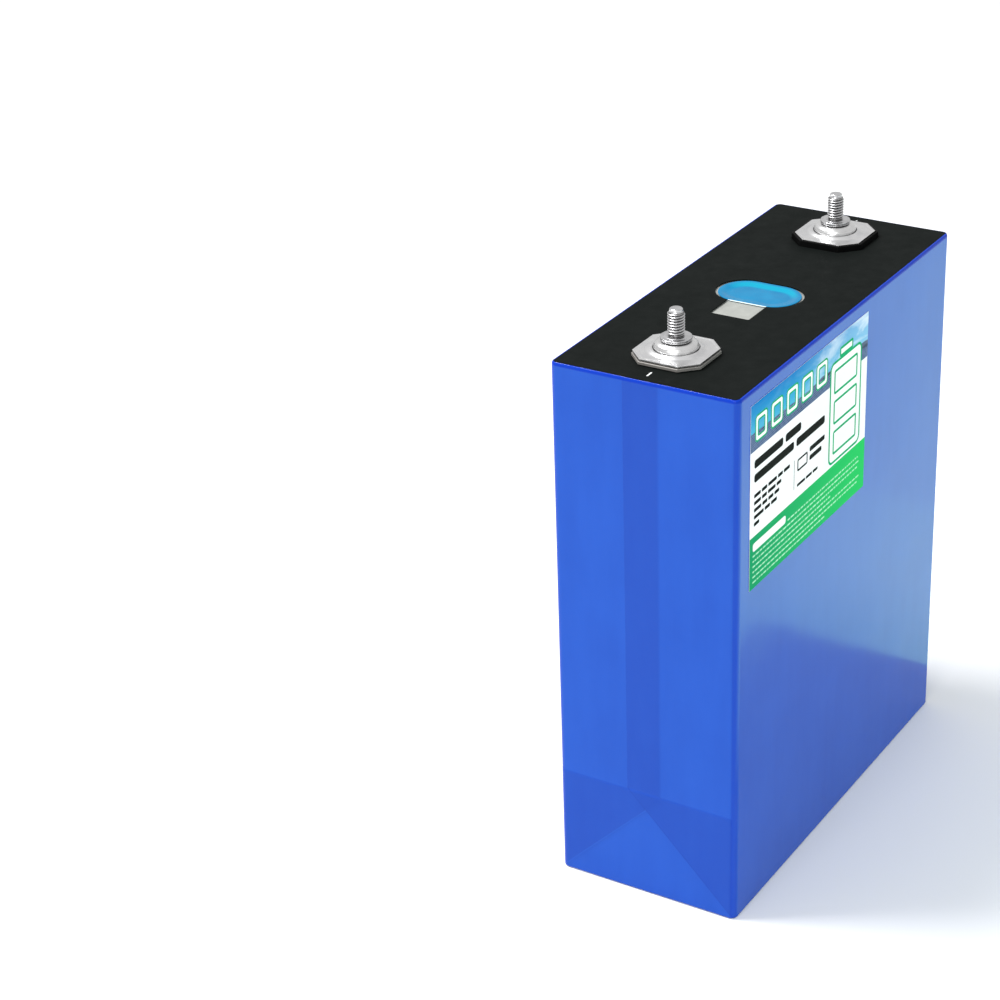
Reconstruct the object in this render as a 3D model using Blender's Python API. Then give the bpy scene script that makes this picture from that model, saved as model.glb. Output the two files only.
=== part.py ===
"""Prismatic lithium iron phosphate battery cell with threaded stud terminals.

Frame: origin at the centre of the underside, +Z up, +X along the length from the
negative terminal to the positive one, +Y through the thickness away from the label.
Sizes are in metres. Every piece is one closed solid, listed from the outside in.
"""

import math

import bmesh
import bpy

MM = 0.001
GAP = 0.3 * MM                      # clearance kept between neighbouring solids

# Driving dimensions of the cell
CELL_LENGTH = 173.7 * MM
CELL_THICKNESS = 71.7 * MM
SHOULDER_HEIGHT = 204.8 * MM        # top face of the black sheet
TERMINAL_HEIGHT = 207.2 * MM        # flat top of the terminal plates
OVERALL_HEIGHT = 222.1 * MM         # tips of the studs
TERMINAL_PITCH = 125.0 * MM

# Wrap, case and lid
CORNER_RADIUS = 2.5 * MM
BOTTOM_BEVEL = 0.8 * MM
FILM_THICKNESS = 0.3 * MM
FILM_TOP = SHOULDER_HEIGHT - 0.1 * MM
SHEET_THICKNESS = 0.4 * MM
SHEET_INSET = FILM_THICKNESS + GAP
CASE_INSET = FILM_THICKNESS + GAP
CASE_WALL = 0.8 * MM
CASE_FLOOR = 1.5 * MM
CASE_TOP = SHOULDER_HEIGHT - SHEET_THICKNESS - GAP
LID_THICKNESS = 3.0 * MM
LID_INSET = CASE_INSET + CASE_WALL + GAP
LID_BOTTOM = CASE_TOP - LID_THICKNESS

# Label on the front wide face
LABEL_WIDTH = 92.0 * MM
LABEL_HEIGHT = 69.0 * MM
LABEL_THICKNESS = 0.12 * MM
LABEL_LIFT = 0.05 * MM
LABEL_CENTRE_X = -32.0 * MM
LABEL_CENTRE_Z = 165.0 * MM
LABEL_RADIUS = 1.0 * MM

# Pressure vent and the window beside it
VENT_OPENING = (33.0 * MM, 20.8 * MM)       # across the cell, along the cell
VENT_FILM = (30.9 * MM, 20.2 * MM)
VENT_RECESS = (29.0 * MM, 17.8 * MM)
VENT_BORE = (26.0 * MM, 14.8 * MM)
VENT_RECESS_DEPTH = 1.3 * MM
VENT_DISC_THICKNESS = 0.4 * MM
VENT_SCORE_INSET = 2.6 * MM
VENT_SCORE_WIDTH = 0.6 * MM
VENT_SCORE_DEPTH = 0.15 * MM
VENT_FILM_THICKNESS = 0.2 * MM
VENT_FILM_LAND = 1.6 * MM                   # flat rim of the film
VENT_FILM_SLOPE = 2.5 * MM
VENT_FILM_DISH = 0.35 * MM
WINDOW_LENGTH = 14.0 * MM                   # along the cell
WINDOW_WIDTH = 15.3 * MM                    # across the cell
WINDOW_OUTER_X = -23.8 * MM

# Electrolyte filling port, under the black sheet
FILL_X = 31.0 * MM
FILL_BORE_RADIUS = 2.0 * MM
FILL_SEAT_RADIUS = 4.3 * MM
FILL_SEAT_DEPTH = 0.9 * MM
FILL_CAP_THICKNESS = 0.5 * MM

# Terminal plates: squares with their corners cut off
PLATE_HALF = 13.0 * MM
PLATE_CHAMFER = 5.7 * MM
PLATE_EDGE_NEGATIVE = 0.7 * MM
BASE_HALF = 13.3 * MM
BASE_THICKNESS = 1.1 * MM
PAD_HALF = 12.4 * MM
FRAME_HALF = 14.1 * MM
FRAME_TOP = SHOULDER_HEIGHT + 2.2 * MM
FRAME_FLOOR = 0.6 * MM
COLLAR_FOOT_RADIUS = 10.2 * MM              # raised ring round the rivet head
COLLAR_TOP_RADIUS = 8.8 * MM
COLLAR_HEIGHT = 0.9 * MM
RIVET_SEAT_RADIUS = 8.1 * MM
RIVET_SEAT_DEPTH = 0.3 * MM

# Rivet that carries the current through the lid
SHANK_RADIUS = 5.0 * MM
HEAD_RADII = (7.8 * MM, 7.8 * MM, 7.5 * MM, 6.6 * MM, 5.4 * MM)
HEAD_HEIGHTS = (0.0, 1.6 * MM, 2.5 * MM, 3.1 * MM, 3.4 * MM)
RIVET_FLANGE_RADIUS = 8.4 * MM
RIVET_FLANGE_THICKNESS = 1.5 * MM
SEAL_THICKNESS = 0.9 * MM
SEAL_RADIUS = 6.3 * MM

# M6 stud with its welding flange
THREAD_PITCH = 1.0 * MM
THREAD_CREST_RADIUS = 3.0 * MM
THREAD_ROOT_RADIUS = 2.45 * MM
STUD_FLANGE_RADIUS = 5.5 * MM
STUD_FLANGE_THICKNESS = 1.1 * MM
STUD_NECK_RADIUS = 3.2 * MM
STUD_TIP_RADIUS = 2.3 * MM
STUD_TIP_HEIGHT = 0.9 * MM
STUD_LEAD_IN = 0.5 * MM
THREAD_SEGMENTS = 16
THREAD_ROWS_PER_TURN = 4

# Plates under the lid
LOWER_PLATE_THICKNESS = 1.2 * MM
LOWER_PLATE_INNER_X = 14.0 * MM
GRILLE_SLOTS = 5
GRILLE_SLOT_WIDTH = 2.2 * MM
GRILLE_SLOT_PITCH = 4.2 * MM
GRILLE_SLOT_LENGTH = 24.0 * MM
COLLECTOR_THICKNESS = 1.5 * MM
COLLECTOR_OUTER_X = 76.0 * MM
COLLECTOR_PAD_X = 50.0 * MM
COLLECTOR_LEG_X = 18.0 * MM
COLLECTOR_HALF_WIDTH = 26.0 * MM
COLLECTOR_LEG_INNER = 9.0 * MM

# Electrode rolls and what holds them
ROLL_LENGTH = 166.0 * MM
ROLL_THICKNESS = 32.6 * MM
ROLL_SPACING = 0.4 * MM
ROLL_TOP = 190.0 * MM
BAG_THICKNESS = 0.3 * MM
BAG_TOP = 195.0 * MM
BOARD_THICKNESS = 1.0 * MM
TAPE_HEIGHT = 20.0 * MM
TAPE_CENTRES = (60.0 * MM, 140.0 * MM)
TAPE_THICKNESS = 0.3 * MM
TAB_WIDTH = 28.0 * MM
TAB_THICKNESS = 1.2 * MM
TAB_CENTRE_X = 34.0 * MM
TAB_REACH = 8.0 * MM

# Level of each piece under the lid, worked down from the lid
LOWER_PLATE_TOP = LID_BOTTOM - GAP
SEAL_BOTTOM = LOWER_PLATE_TOP - SEAL_THICKNESS
RIVET_FLANGE_TOP = SEAL_BOTTOM - GAP
RIVET_BOTTOM = RIVET_FLANGE_TOP - RIVET_FLANGE_THICKNESS
COLLECTOR_TOP = RIVET_BOTTOM - GAP
COLLECTOR_BOTTOM = COLLECTOR_TOP - COLLECTOR_THICKNESS

# Level of each piece of a terminal above the lid
RIVET_SEAT_Z = TERMINAL_HEIGHT - RIVET_SEAT_DEPTH
RIVET_HEAD_Z = RIVET_SEAT_Z + GAP
STUD_FLANGE_Z = RIVET_HEAD_Z + HEAD_HEIGHTS[-1] + GAP

EXTRA = 5.0 * MM                    # how far a cutter runs past what it cuts

BLUE = (0.03, 0.10, 0.62)
BLACK = (0.015, 0.016, 0.016)
ALUMINIUM = (0.78, 0.77, 0.75)
COPPER = (0.72, 0.36, 0.20)


# ---------------------------------------------------------------- outlines
def rounded_rectangle(length, width, radius, steps=5):
    """Corners of a rounded rectangle about the origin, counter-clockwise from above."""
    points = []
    for quarter, (sx, sy) in enumerate(((1, 1), (-1, 1), (-1, -1), (1, -1))):
        for step in range(steps + 1):
            angle = math.radians(90 * (quarter + step / steps))
            points.append((sx * (length / 2 - radius) + radius * math.cos(angle),
                           sy * (width / 2 - radius) + radius * math.sin(angle)))
    return points


def racetrack(length, width, steps=14):
    """Straight sides along X joined by half circles."""
    radius = width / 2
    points = []
    for side in (1, -1):
        for step in range(steps + 1):
            angle = math.radians(180 * step / steps - 90)
            points.append((side * (length / 2 - radius + radius * math.cos(angle)),
                           side * radius * math.sin(angle)))
    return points


def vent_outline(size, inset=0.0):
    """Racetrack of the vent, its long axis across the cell; size is (across, along)."""
    across, along = size
    return [(-y, x) for x, y in racetrack(across - 2 * inset, along - 2 * inset)]


def octagon(half, edge_steps=6, chamfer_steps=3):
    """Square with cut corners, each side divided so that circles can be bridged to it."""
    leg = PLATE_CHAMFER + (half - PLATE_HALF) * (2 - math.sqrt(2))
    corners = [(half, -half + leg), (half, half - leg), (half - leg, half),
               (-half + leg, half), (-half, half - leg), (-half, -half + leg),
               (-half + leg, -half), (half - leg, -half)]
    points = []
    for index, (x0, y0) in enumerate(corners):
        x1, y1 = corners[(index + 1) % len(corners)]
        steps = edge_steps if index % 2 == 0 else chamfer_steps
        for step in range(steps):
            share = step / steps
            points.append((x0 + (x1 - x0) * share, y0 + (y1 - y0) * share))
    return points


def circle_facing(outline, radius):
    """Circle with one point on the bearing of each point of an outline."""
    bearings = [math.atan2(y, x) for x, y in outline]
    return [(radius * math.cos(b), radius * math.sin(b)) for b in bearings]


def circle(radius, count=32):
    """Evenly divided circle."""
    bearings = [2 * math.pi * i / count for i in range(count)]
    return [(radius * math.cos(b), radius * math.sin(b)) for b in bearings]


def at_height(outline, z):
    """Outline lifted to a height, as one ring of a loft."""
    return [(x, y, z) for x, y in outline]


# ---------------------------------------------------------------- building blocks
def make_material(name, colour, roughness, metallic=0.0):
    """Principled material of one plain colour."""
    material = bpy.data.materials.new(name)
    material.use_nodes = True
    shader = material.node_tree.nodes["Principled BSDF"]
    shader.inputs["Base Color"].default_value = (*colour, 1.0)
    shader.inputs["Roughness"].default_value = roughness
    shader.inputs["Metallic"].default_value = metallic
    return material


def add_object(name, mesh_data, material, location=(0, 0, 0), parent=None, smooth=True):
    """Link a bmesh into the scene as a named object."""
    mesh = bpy.data.meshes.new(name)
    mesh_data.to_mesh(mesh)
    mesh_data.free()
    if smooth:
        mesh.shade_smooth()
        mesh.set_sharp_from_angle(angle=math.radians(35))
    if material:
        mesh.materials.append(material)
    obj = bpy.data.objects.new(name, mesh)
    bpy.context.collection.objects.link(obj)
    obj.parent = parent
    obj.location = location
    return obj


def loft(name, rings, material, closed=False, **placing):
    """Bridge rings of equal length. The path starts on the underside and runs up the outside.

    An open path is capped at both ends; a closed one returns to its first ring.
    """
    bm = bmesh.new()
    loops = [[bm.verts.new(point) for point in ring] for ring in rings]
    pairs = list(zip(loops, loops[1:]))
    if closed:
        pairs.append((loops[-1], loops[0]))
    else:
        bm.faces.new(reversed(loops[0]))
        bm.faces.new(loops[-1])
    for low, high in pairs:
        for i in range(len(low)):
            j = (i + 1) % len(low)
            bm.faces.new((low[i], low[j], high[j], high[i]))
    return add_object(name, bm, material, **placing)


def prism(name, outline, bottom, top, material, **placing):
    """Straight extrusion of an outline between two heights."""
    return loft(name, [at_height(outline, bottom), at_height(outline, top)], material, **placing)


def cut(target, cutter):
    """Subtract a hidden wire cutter from a target."""
    cutter.hide_render = True
    cutter.display_type = "WIRE"
    modifier = target.modifiers.new(cutter.name, "BOOLEAN")
    modifier.operation = "DIFFERENCE"
    modifier.solver = "EXACT"
    modifier.object = cutter


def empty_at(name, location):
    """Empty that carries one group of pieces."""
    obj = bpy.data.objects.new(name, None)
    bpy.context.collection.objects.link(obj)
    obj.location = location
    return obj


# ---------------------------------------------------------------- outer skin
def body_outline(inset):
    """The cell's own outline moved inwards."""
    return rounded_rectangle(CELL_LENGTH - 2 * inset, CELL_THICKNESS - 2 * inset,
                             CORNER_RADIUS - inset)


def bevelled_foot(inset):
    """Two rings that carry the bottom bevel at an inset from the outermost skin."""
    bevel = BOTTOM_BEVEL - inset * (2 - math.sqrt(2))
    return [at_height(body_outline(inset + bevel), inset),
            at_height(body_outline(inset), inset + bevel)]


def build_wrap_film():
    """Blue film folded round the case: a thin box, open at the top."""
    outside = bevelled_foot(0)
    inside = bevelled_foot(FILM_THICKNESS)
    rings = outside + [at_height(body_outline(0), FILM_TOP),
                       at_height(body_outline(FILM_THICKNESS), FILM_TOP)] + inside[::-1]
    loft("wrap_film", rings, make_material("film_blue", BLUE, 0.28))


def build_side_label():
    """Label on the front wide face, standing upright in XZ."""
    label = prism("side_label", rounded_rectangle(LABEL_WIDTH, LABEL_HEIGHT, LABEL_RADIUS),
                  0, LABEL_THICKNESS, make_material("label_print", (0.72, 0.76, 0.74), 0.45))
    label.rotation_euler = (math.pi / 2, 0, 0)
    label.location = (LABEL_CENTRE_X, -CELL_THICKNESS / 2 - LABEL_LIFT, LABEL_CENTRE_Z)


def build_top_sheet():
    """Black insulating sheet, cut out for the terminals, the vent and the window."""
    sheet = prism("top_insulation_sheet", body_outline(SHEET_INSET),
                  SHOULDER_HEIGHT - SHEET_THICKNESS, SHOULDER_HEIGHT,
                  make_material("sheet_black", BLACK, 0.6))
    low, high = SHOULDER_HEIGHT - EXTRA, SHOULDER_HEIGHT + EXTRA
    cut(sheet, prism("cut_sheet_vent", vent_outline(VENT_OPENING), low, high, None))
    window_length = WINDOW_LENGTH + VENT_OPENING[1] / 4
    window = rounded_rectangle(window_length, WINDOW_WIDTH, 0.4 * MM, steps=2)
    cut(sheet, prism("cut_sheet_window", window, low, high, None,
                     location=(WINDOW_OUTER_X + window_length / 2, 0, 0)))
    for side, sign, half in (("negative", -1, PAD_HALF), ("positive", 1, FRAME_HALF)):
        cut(sheet, prism(f"cut_sheet_{side}", octagon(half + GAP), low, high, None,
                         location=(sign * TERMINAL_PITCH / 2, 0, 0)))


def build_vent_film():
    """Blue film over the vent, dished a little into the recess."""
    under = SHOULDER_HEIGHT - SHEET_THICKNESS
    steps = ((VENT_FILM_LAND + VENT_FILM_SLOPE, VENT_FILM_DISH), (VENT_FILM_LAND, 0.0), (0.0, 0.0))
    rings = [at_height(vent_outline(VENT_FILM, inset), under - drop) for inset, drop in steps]
    rings += [at_height(vent_outline(VENT_FILM, inset), under - drop + VENT_FILM_THICKNESS)
              for inset, drop in reversed(steps)]
    loft("vent_cover_film", rings, make_material("vent_film_cyan", (0.02, 0.36, 0.72), 0.15))


# ---------------------------------------------------------------- case and lid
def build_case():
    """Deep drawn aluminium can, open at the top."""
    inner = CASE_INSET + CASE_WALL
    rings = bevelled_foot(CASE_INSET) + [
        at_height(body_outline(CASE_INSET), CASE_TOP),
        at_height(body_outline(inner), CASE_TOP),
        at_height(body_outline(inner), CASE_INSET + CASE_FLOOR)]
    loft("case_can", rings, make_material("case_aluminium", ALUMINIUM, 0.4, 1.0))


def build_lid():
    """Lid plate with holes for both rivets, the vent and the filling port."""
    lid = prism("lid_plate", body_outline(LID_INSET), LID_BOTTOM, CASE_TOP,
                make_material("lid_aluminium", ALUMINIUM, 0.38, 1.0))
    below, above = LID_BOTTOM - EXTRA, CASE_TOP + EXTRA
    for side, sign in (("negative", -1), ("positive", 1)):
        cut(lid, prism(f"cut_lid_{side}", circle(SEAL_RADIUS + GAP), below, above, None,
                       location=(sign * TERMINAL_PITCH / 2, 0, 0)))
    cut(lid, prism("cut_lid_vent_recess", vent_outline(VENT_RECESS),
                   CASE_TOP - VENT_RECESS_DEPTH, above, None))
    cut(lid, prism("cut_lid_vent_bore", vent_outline(VENT_BORE), below, above, None))
    cut(lid, prism("cut_lid_fill_seat", circle(FILL_SEAT_RADIUS),
                   CASE_TOP - FILL_SEAT_DEPTH, above, None, location=(FILL_X, 0, 0)))
    cut(lid, prism("cut_lid_fill_bore", circle(FILL_BORE_RADIUS, 20), below, above, None,
                   location=(FILL_X, 0, 0)))


def build_vent_disc():
    """Thin burst disc on the ledge of the recess, with a scored racetrack line."""
    bottom = CASE_TOP - VENT_RECESS_DEPTH + GAP
    top = bottom + VENT_DISC_THICKNESS
    steps = ((GAP, bottom), (GAP, top), (VENT_SCORE_INSET, top),
             (VENT_SCORE_INSET + VENT_SCORE_WIDTH / 2, top - VENT_SCORE_DEPTH),
             (VENT_SCORE_INSET + VENT_SCORE_WIDTH, top))
    rings = [at_height(vent_outline(VENT_RECESS, inset), z) for inset, z in steps]
    loft("vent_disc", rings, make_material("vent_aluminium", (0.7, 0.7, 0.7), 0.35, 1.0))


def build_fill_port():
    """Rubber plug in the filling hole and the aluminium cap welded over it."""
    seat = CASE_TOP - FILL_SEAT_DEPTH
    radius = FILL_BORE_RADIUS - GAP
    loft("fill_port_plug",
         [at_height(circle(radius * 0.7, 20), LID_BOTTOM + GAP),
          at_height(circle(radius, 20), LID_BOTTOM + 3 * GAP),
          at_height(circle(radius, 20), seat - GAP / 2)],
         make_material("plug_rubber", (0.05, 0.05, 0.06), 0.8), location=(FILL_X, 0, 0))
    prism("fill_port_cap", circle(FILL_SEAT_RADIUS - GAP), seat + GAP,
          seat + GAP + FILL_CAP_THICKNESS, make_material("cap_aluminium", ALUMINIUM, 0.35, 1.0),
          location=(FILL_X, 0, 0))


# ---------------------------------------------------------------- terminals
def plate_rings(half, bottom):
    """Rings of a terminal plate: cut-corner outside, raised collar, seat and rivet hole."""
    outline = octagon(half)

    def round_at(radius, z):
        return at_height(circle_facing(outline, radius), z)

    return [at_height(outline, bottom), at_height(outline, TERMINAL_HEIGHT),
            round_at(COLLAR_FOOT_RADIUS, TERMINAL_HEIGHT),
            round_at(COLLAR_TOP_RADIUS, TERMINAL_HEIGHT + COLLAR_HEIGHT),
            round_at(RIVET_SEAT_RADIUS, TERMINAL_HEIGHT + COLLAR_HEIGHT),
            round_at(RIVET_SEAT_RADIUS, RIVET_SEAT_Z),
            round_at(SHANK_RADIUS + GAP, RIVET_SEAT_Z),
            round_at(SHANK_RADIUS + GAP, bottom)]


def flat_octagon_with_hole(name, half, bottom, top, material, parent):
    """Flat cut-corner plate with a hole for the rivet shank."""
    outline = octagon(half)
    hole = circle_facing(outline, SHANK_RADIUS + GAP)
    rings = [at_height(outline, bottom), at_height(outline, top),
             at_height(hole, top), at_height(hole, bottom)]
    loft(name, rings, material, closed=True, parent=parent)


def build_positive_frame(parent):
    """Black cup that holds the positive plate level with its rim."""
    outside = octagon(FRAME_HALF)
    pocket = octagon(PLATE_HALF + GAP)
    hole = circle_facing(outside, SHANK_RADIUS + GAP)
    foot = SHOULDER_HEIGHT - SHEET_THICKNESS
    rings = [at_height(outside, foot), at_height(outside, FRAME_TOP),
             at_height(pocket, FRAME_TOP), at_height(pocket, foot + FRAME_FLOOR),
             at_height(hole, foot + FRAME_FLOOR), at_height(hole, foot)]
    loft("terminal_frame_positive", rings, make_material("frame_black", BLACK, 0.45),
         closed=True, parent=parent)


def build_rivet(name, material, parent):
    """Flanged rivet: flange inside the cell, shank through the lid, head on the plate."""
    rings = [at_height(circle(RIVET_FLANGE_RADIUS), RIVET_BOTTOM),
             at_height(circle(RIVET_FLANGE_RADIUS), RIVET_FLANGE_TOP),
             at_height(circle(SHANK_RADIUS), RIVET_FLANGE_TOP),
             at_height(circle(SHANK_RADIUS), RIVET_HEAD_Z)]
    for radius, height in zip(HEAD_RADII, HEAD_HEIGHTS):
        rings.append(at_height(circle(radius), RIVET_HEAD_Z + height))
    loft(name, rings, material, parent=parent)


def build_seal_ring(name, material, parent):
    """Rubber ring: a flange under the lid and a sleeve through its hole."""
    inner = SHANK_RADIUS + GAP
    rings = [at_height(circle(RIVET_FLANGE_RADIUS), SEAL_BOTTOM),
             at_height(circle(RIVET_FLANGE_RADIUS), LOWER_PLATE_TOP),
             at_height(circle(SEAL_RADIUS), LOWER_PLATE_TOP),
             at_height(circle(SEAL_RADIUS), CASE_TOP),
             at_height(circle(inner), CASE_TOP),
             at_height(circle(inner), SEAL_BOTTOM)]
    loft(name, rings, material, closed=True, parent=parent)


def thread_radius(bearing, height, run):
    """Radius of the single-start thread at a bearing and a height above its foot."""
    phase = (height / THREAD_PITCH - bearing / (2 * math.pi)) % 1.0
    ridge = 1.0 - abs(2.0 * phase - 1.0)
    fade = min(1.0, height / THREAD_PITCH, (run - height) / THREAD_PITCH)
    return THREAD_ROOT_RADIUS + (THREAD_CREST_RADIUS - THREAD_ROOT_RADIUS) * ridge * max(fade, 0.0)


def build_stud(name, material, parent):
    """M6 stud on a round flange, with a helical thread and a short plain tip."""
    bearings = [2 * math.pi * i / THREAD_SEGMENTS for i in range(THREAD_SEGMENTS)]

    def round_at(radius, z):
        return at_height(circle(radius, THREAD_SEGMENTS), z)

    edge = 0.25 * MM
    flange_top = STUD_FLANGE_Z + STUD_FLANGE_THICKNESS
    rings = [round_at(STUD_FLANGE_RADIUS, STUD_FLANGE_Z),
             round_at(STUD_FLANGE_RADIUS, flange_top - edge),
             round_at(STUD_FLANGE_RADIUS - edge, flange_top),
             round_at(STUD_NECK_RADIUS, flange_top)]
    foot = flange_top + edge
    run = OVERALL_HEIGHT - STUD_TIP_HEIGHT - STUD_LEAD_IN - foot
    rows = round(run / THREAD_PITCH * THREAD_ROWS_PER_TURN)
    for row in range(rows + 1):
        height = run * row / rows
        rings.append([(thread_radius(b, height, run) * math.cos(b),
                       thread_radius(b, height, run) * math.sin(b), foot + height)
                      for b in bearings])
    tip = OVERALL_HEIGHT - STUD_TIP_HEIGHT
    rings += [round_at(STUD_TIP_RADIUS, tip),
              round_at(STUD_TIP_RADIUS, OVERALL_HEIGHT - edge),
              round_at(STUD_TIP_RADIUS - edge, OVERALL_HEIGHT)]
    loft(name, rings, material, parent=parent)


def build_terminals():
    """Both terminals. The negative one has a two-metal plate, the positive one a plastic frame."""
    plate_metal = make_material("terminal_aluminium", ALUMINIUM, 0.32, 1.0)
    stud_metal = make_material("stud_steel", (0.74, 0.75, 0.76), 0.25, 1.0)
    base_metal = make_material("base_nickelled_copper", (0.46, 0.42, 0.36), 0.4, 1.0)
    pad_plastic = make_material("pad_black", BLACK, 0.5)
    seal_rubber = make_material("seal_rubber", (0.03, 0.03, 0.035), 0.75)
    rivet_nickel = make_material("rivet_nickelled_copper", (0.74, 0.72, 0.68), 0.3, 1.0)

    negative = empty_at("terminal_negative_axis", (-TERMINAL_PITCH / 2, 0, 0))
    foot = SHOULDER_HEIGHT - SHEET_THICKNESS
    base_top = TERMINAL_HEIGHT - PLATE_EDGE_NEGATIVE - GAP
    flat_octagon_with_hole("terminal_pad_negative", PAD_HALF, foot,
                           base_top - BASE_THICKNESS - GAP, pad_plastic, negative)
    flat_octagon_with_hole("terminal_base_negative", BASE_HALF,
                           base_top - BASE_THICKNESS, base_top, base_metal, negative)
    loft("terminal_plate_negative", plate_rings(PLATE_HALF, base_top + GAP), plate_metal,
         closed=True, parent=negative)

    positive = empty_at("terminal_positive_axis", (TERMINAL_PITCH / 2, 0, 0))
    build_positive_frame(positive)
    loft("terminal_plate_positive", plate_rings(PLATE_HALF, foot + FRAME_FLOOR + GAP),
         plate_metal, closed=True, parent=positive)

    for side, parent, rivet_metal in (("negative", negative, rivet_nickel),
                                      ("positive", positive, plate_metal)):
        build_rivet(f"terminal_rivet_{side}", rivet_metal, parent)
        build_stud(f"terminal_stud_{side}", stud_metal, parent)
        build_seal_ring(f"seal_ring_{side}", seal_rubber, parent)


# ---------------------------------------------------------------- under the lid
def build_lower_plates():
    """Plastic plates that keep the lid off the live parts, and the grille under the vent."""
    plastic = make_material("lower_plastic", (0.75, 0.76, 0.74), 0.5)
    outer_x = CELL_LENGTH / 2 - LID_INSET - GAP
    width = CELL_THICKNESS - 2 * (LID_INSET + GAP)
    bottom = LOWER_PLATE_TOP - LOWER_PLATE_THICKNESS
    for side, sign in (("negative", -1), ("positive", 1)):
        length = outer_x - LOWER_PLATE_INNER_X
        centre = sign * (outer_x + LOWER_PLATE_INNER_X) / 2
        plate = prism(f"lower_insulator_{side}", rounded_rectangle(length, width, 1.0 * MM, 2),
                      bottom, LOWER_PLATE_TOP, plastic, location=(centre, 0, 0))
        cut(plate, prism(f"cut_lower_{side}", circle(RIVET_FLANGE_RADIUS + GAP),
                         bottom - EXTRA, LOWER_PLATE_TOP + EXTRA, None,
                         location=(sign * TERMINAL_PITCH / 2, 0, 0)))
    grille = prism("vent_guard_grille",
                   rounded_rectangle(2 * (LOWER_PLATE_INNER_X - GAP), width, 1.0 * MM, 2),
                   bottom, LOWER_PLATE_TOP, plastic)
    for slot in range(GRILLE_SLOTS):
        x = (slot - (GRILLE_SLOTS - 1) / 2) * GRILLE_SLOT_PITCH
        outline = rounded_rectangle(GRILLE_SLOT_WIDTH, GRILLE_SLOT_LENGTH, 0.5 * MM, 1)
        cut(grille, prism(f"cut_grille_{slot}", outline, bottom - EXTRA, LOWER_PLATE_TOP + EXTRA,
                          None, location=(x, 0, 0)))


def build_collectors():
    """Current collectors: a pad under the rivet and two legs, one over each roll."""
    rear_half = [(COLLECTOR_PAD_X, COLLECTOR_LEG_INNER), (COLLECTOR_LEG_X, COLLECTOR_LEG_INNER),
                 (COLLECTOR_LEG_X, COLLECTOR_HALF_WIDTH),
                 (COLLECTOR_OUTER_X, COLLECTOR_HALF_WIDTH)]
    outline = [(x, -y) for x, y in rear_half] + rear_half[::-1]
    metals = {"negative": make_material("collector_copper", COPPER, 0.35, 1.0),
              "positive": make_material("collector_aluminium", ALUMINIUM, 0.4, 1.0)}
    for side, metal in metals.items():
        collector = prism(f"collector_{side}", outline, COLLECTOR_BOTTOM, COLLECTOR_TOP, metal,
                          smooth=False)
        collector.rotation_euler = (0, 0, math.pi if side == "negative" else 0)


def build_tab_bundles():
    """Foil tab bundles, each rising from a roll and folded flat under a collector leg."""
    foot = ROLL_TOP + GAP
    top = COLLECTOR_BOTTOM - GAP
    half = TAB_THICKNESS / 2
    # profile in (across, height), rising at 0 and folded outwards
    profile = [(-half, foot), (half, foot), (half, top - TAB_THICKNESS),
               (TAB_REACH, top - TAB_THICKNESS), (TAB_REACH, top), (-half, top)]
    roll_y = (ROLL_THICKNESS + ROLL_SPACING) / 2
    metals = {"negative": make_material("tab_copper", COPPER, 0.35, 1.0),
              "positive": make_material("tab_aluminium", ALUMINIUM, 0.45, 1.0)}
    for place, across in (("front", -1), ("rear", 1)):
        section = [(across * y, z) for y, z in profile]
        if across < 0:
            section.reverse()        # mirroring has turned the outline round
        rings = [[(x, y, z) for y, z in section] for x in (-TAB_WIDTH / 2, TAB_WIDTH / 2)]
        for side, sign in (("negative", -1), ("positive", 1)):
            loft(f"tab_bundle_{side}_{place}", rings, metals[side], smooth=False,
                 location=(sign * TAB_CENTRE_X, across * roll_y, 0))


# ---------------------------------------------------------------- electrode rolls
def build_rolls():
    """Two flat wound rolls side by side, their winding axes upright."""
    board_top = CASE_INSET + CASE_FLOOR + GAP + BAG_THICKNESS + GAP + BOARD_THICKNESS
    wrap = make_material("roll_separator", (0.82, 0.82, 0.80), 0.55)
    outline = racetrack(ROLL_LENGTH, ROLL_THICKNESS)
    for place, across in (("front", -1), ("rear", 1)):
        prism(f"electrode_roll_{place}", outline, board_top + GAP, ROLL_TOP, wrap,
              location=(0, across * (ROLL_THICKNESS + ROLL_SPACING) / 2, 0))


def build_binding_tapes():
    """Tapes round the pair of rolls."""
    tape = make_material("tape_green", (0.05, 0.35, 0.20), 0.4)
    pair_width = 2 * ROLL_THICKNESS + ROLL_SPACING
    for place, centre in zip(("lower", "upper"), TAPE_CENTRES):
        rings = []
        for lift, z in ((TAPE_THICKNESS, -1), (TAPE_THICKNESS, 1), (0, 1), (0, -1)):
            clear = GAP + lift
            outline = rounded_rectangle(ROLL_LENGTH + 2 * clear, pair_width + 2 * clear,
                                        ROLL_THICKNESS / 2 + clear)
            rings.append(at_height(outline, centre + z * TAPE_HEIGHT / 2))
        loft(f"binding_tape_{place}", rings, tape, closed=True)


def build_bag_and_board():
    """Insulating bag inside the case, and the board that the rolls stand on."""
    outer = CASE_INSET + CASE_WALL + GAP
    inner = outer + BAG_THICKNESS
    foot = CASE_INSET + CASE_FLOOR + GAP
    rings = [at_height(body_outline(outer), foot), at_height(body_outline(outer), BAG_TOP),
             at_height(body_outline(inner), BAG_TOP),
             at_height(body_outline(inner), foot + BAG_THICKNESS)]
    loft("inner_insulation_bag", rings, make_material("bag_clear", (0.80, 0.84, 0.86), 0.3))
    board_foot = foot + BAG_THICKNESS + GAP
    prism("bottom_support_board",
          rounded_rectangle(CELL_LENGTH - 2 * (inner + GAP), CELL_THICKNESS - 2 * (inner + GAP),
                            1.0 * MM, 2),
          board_foot, board_foot + BOARD_THICKNESS,
          make_material("board_plastic", (0.70, 0.70, 0.68), 0.6))


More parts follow.
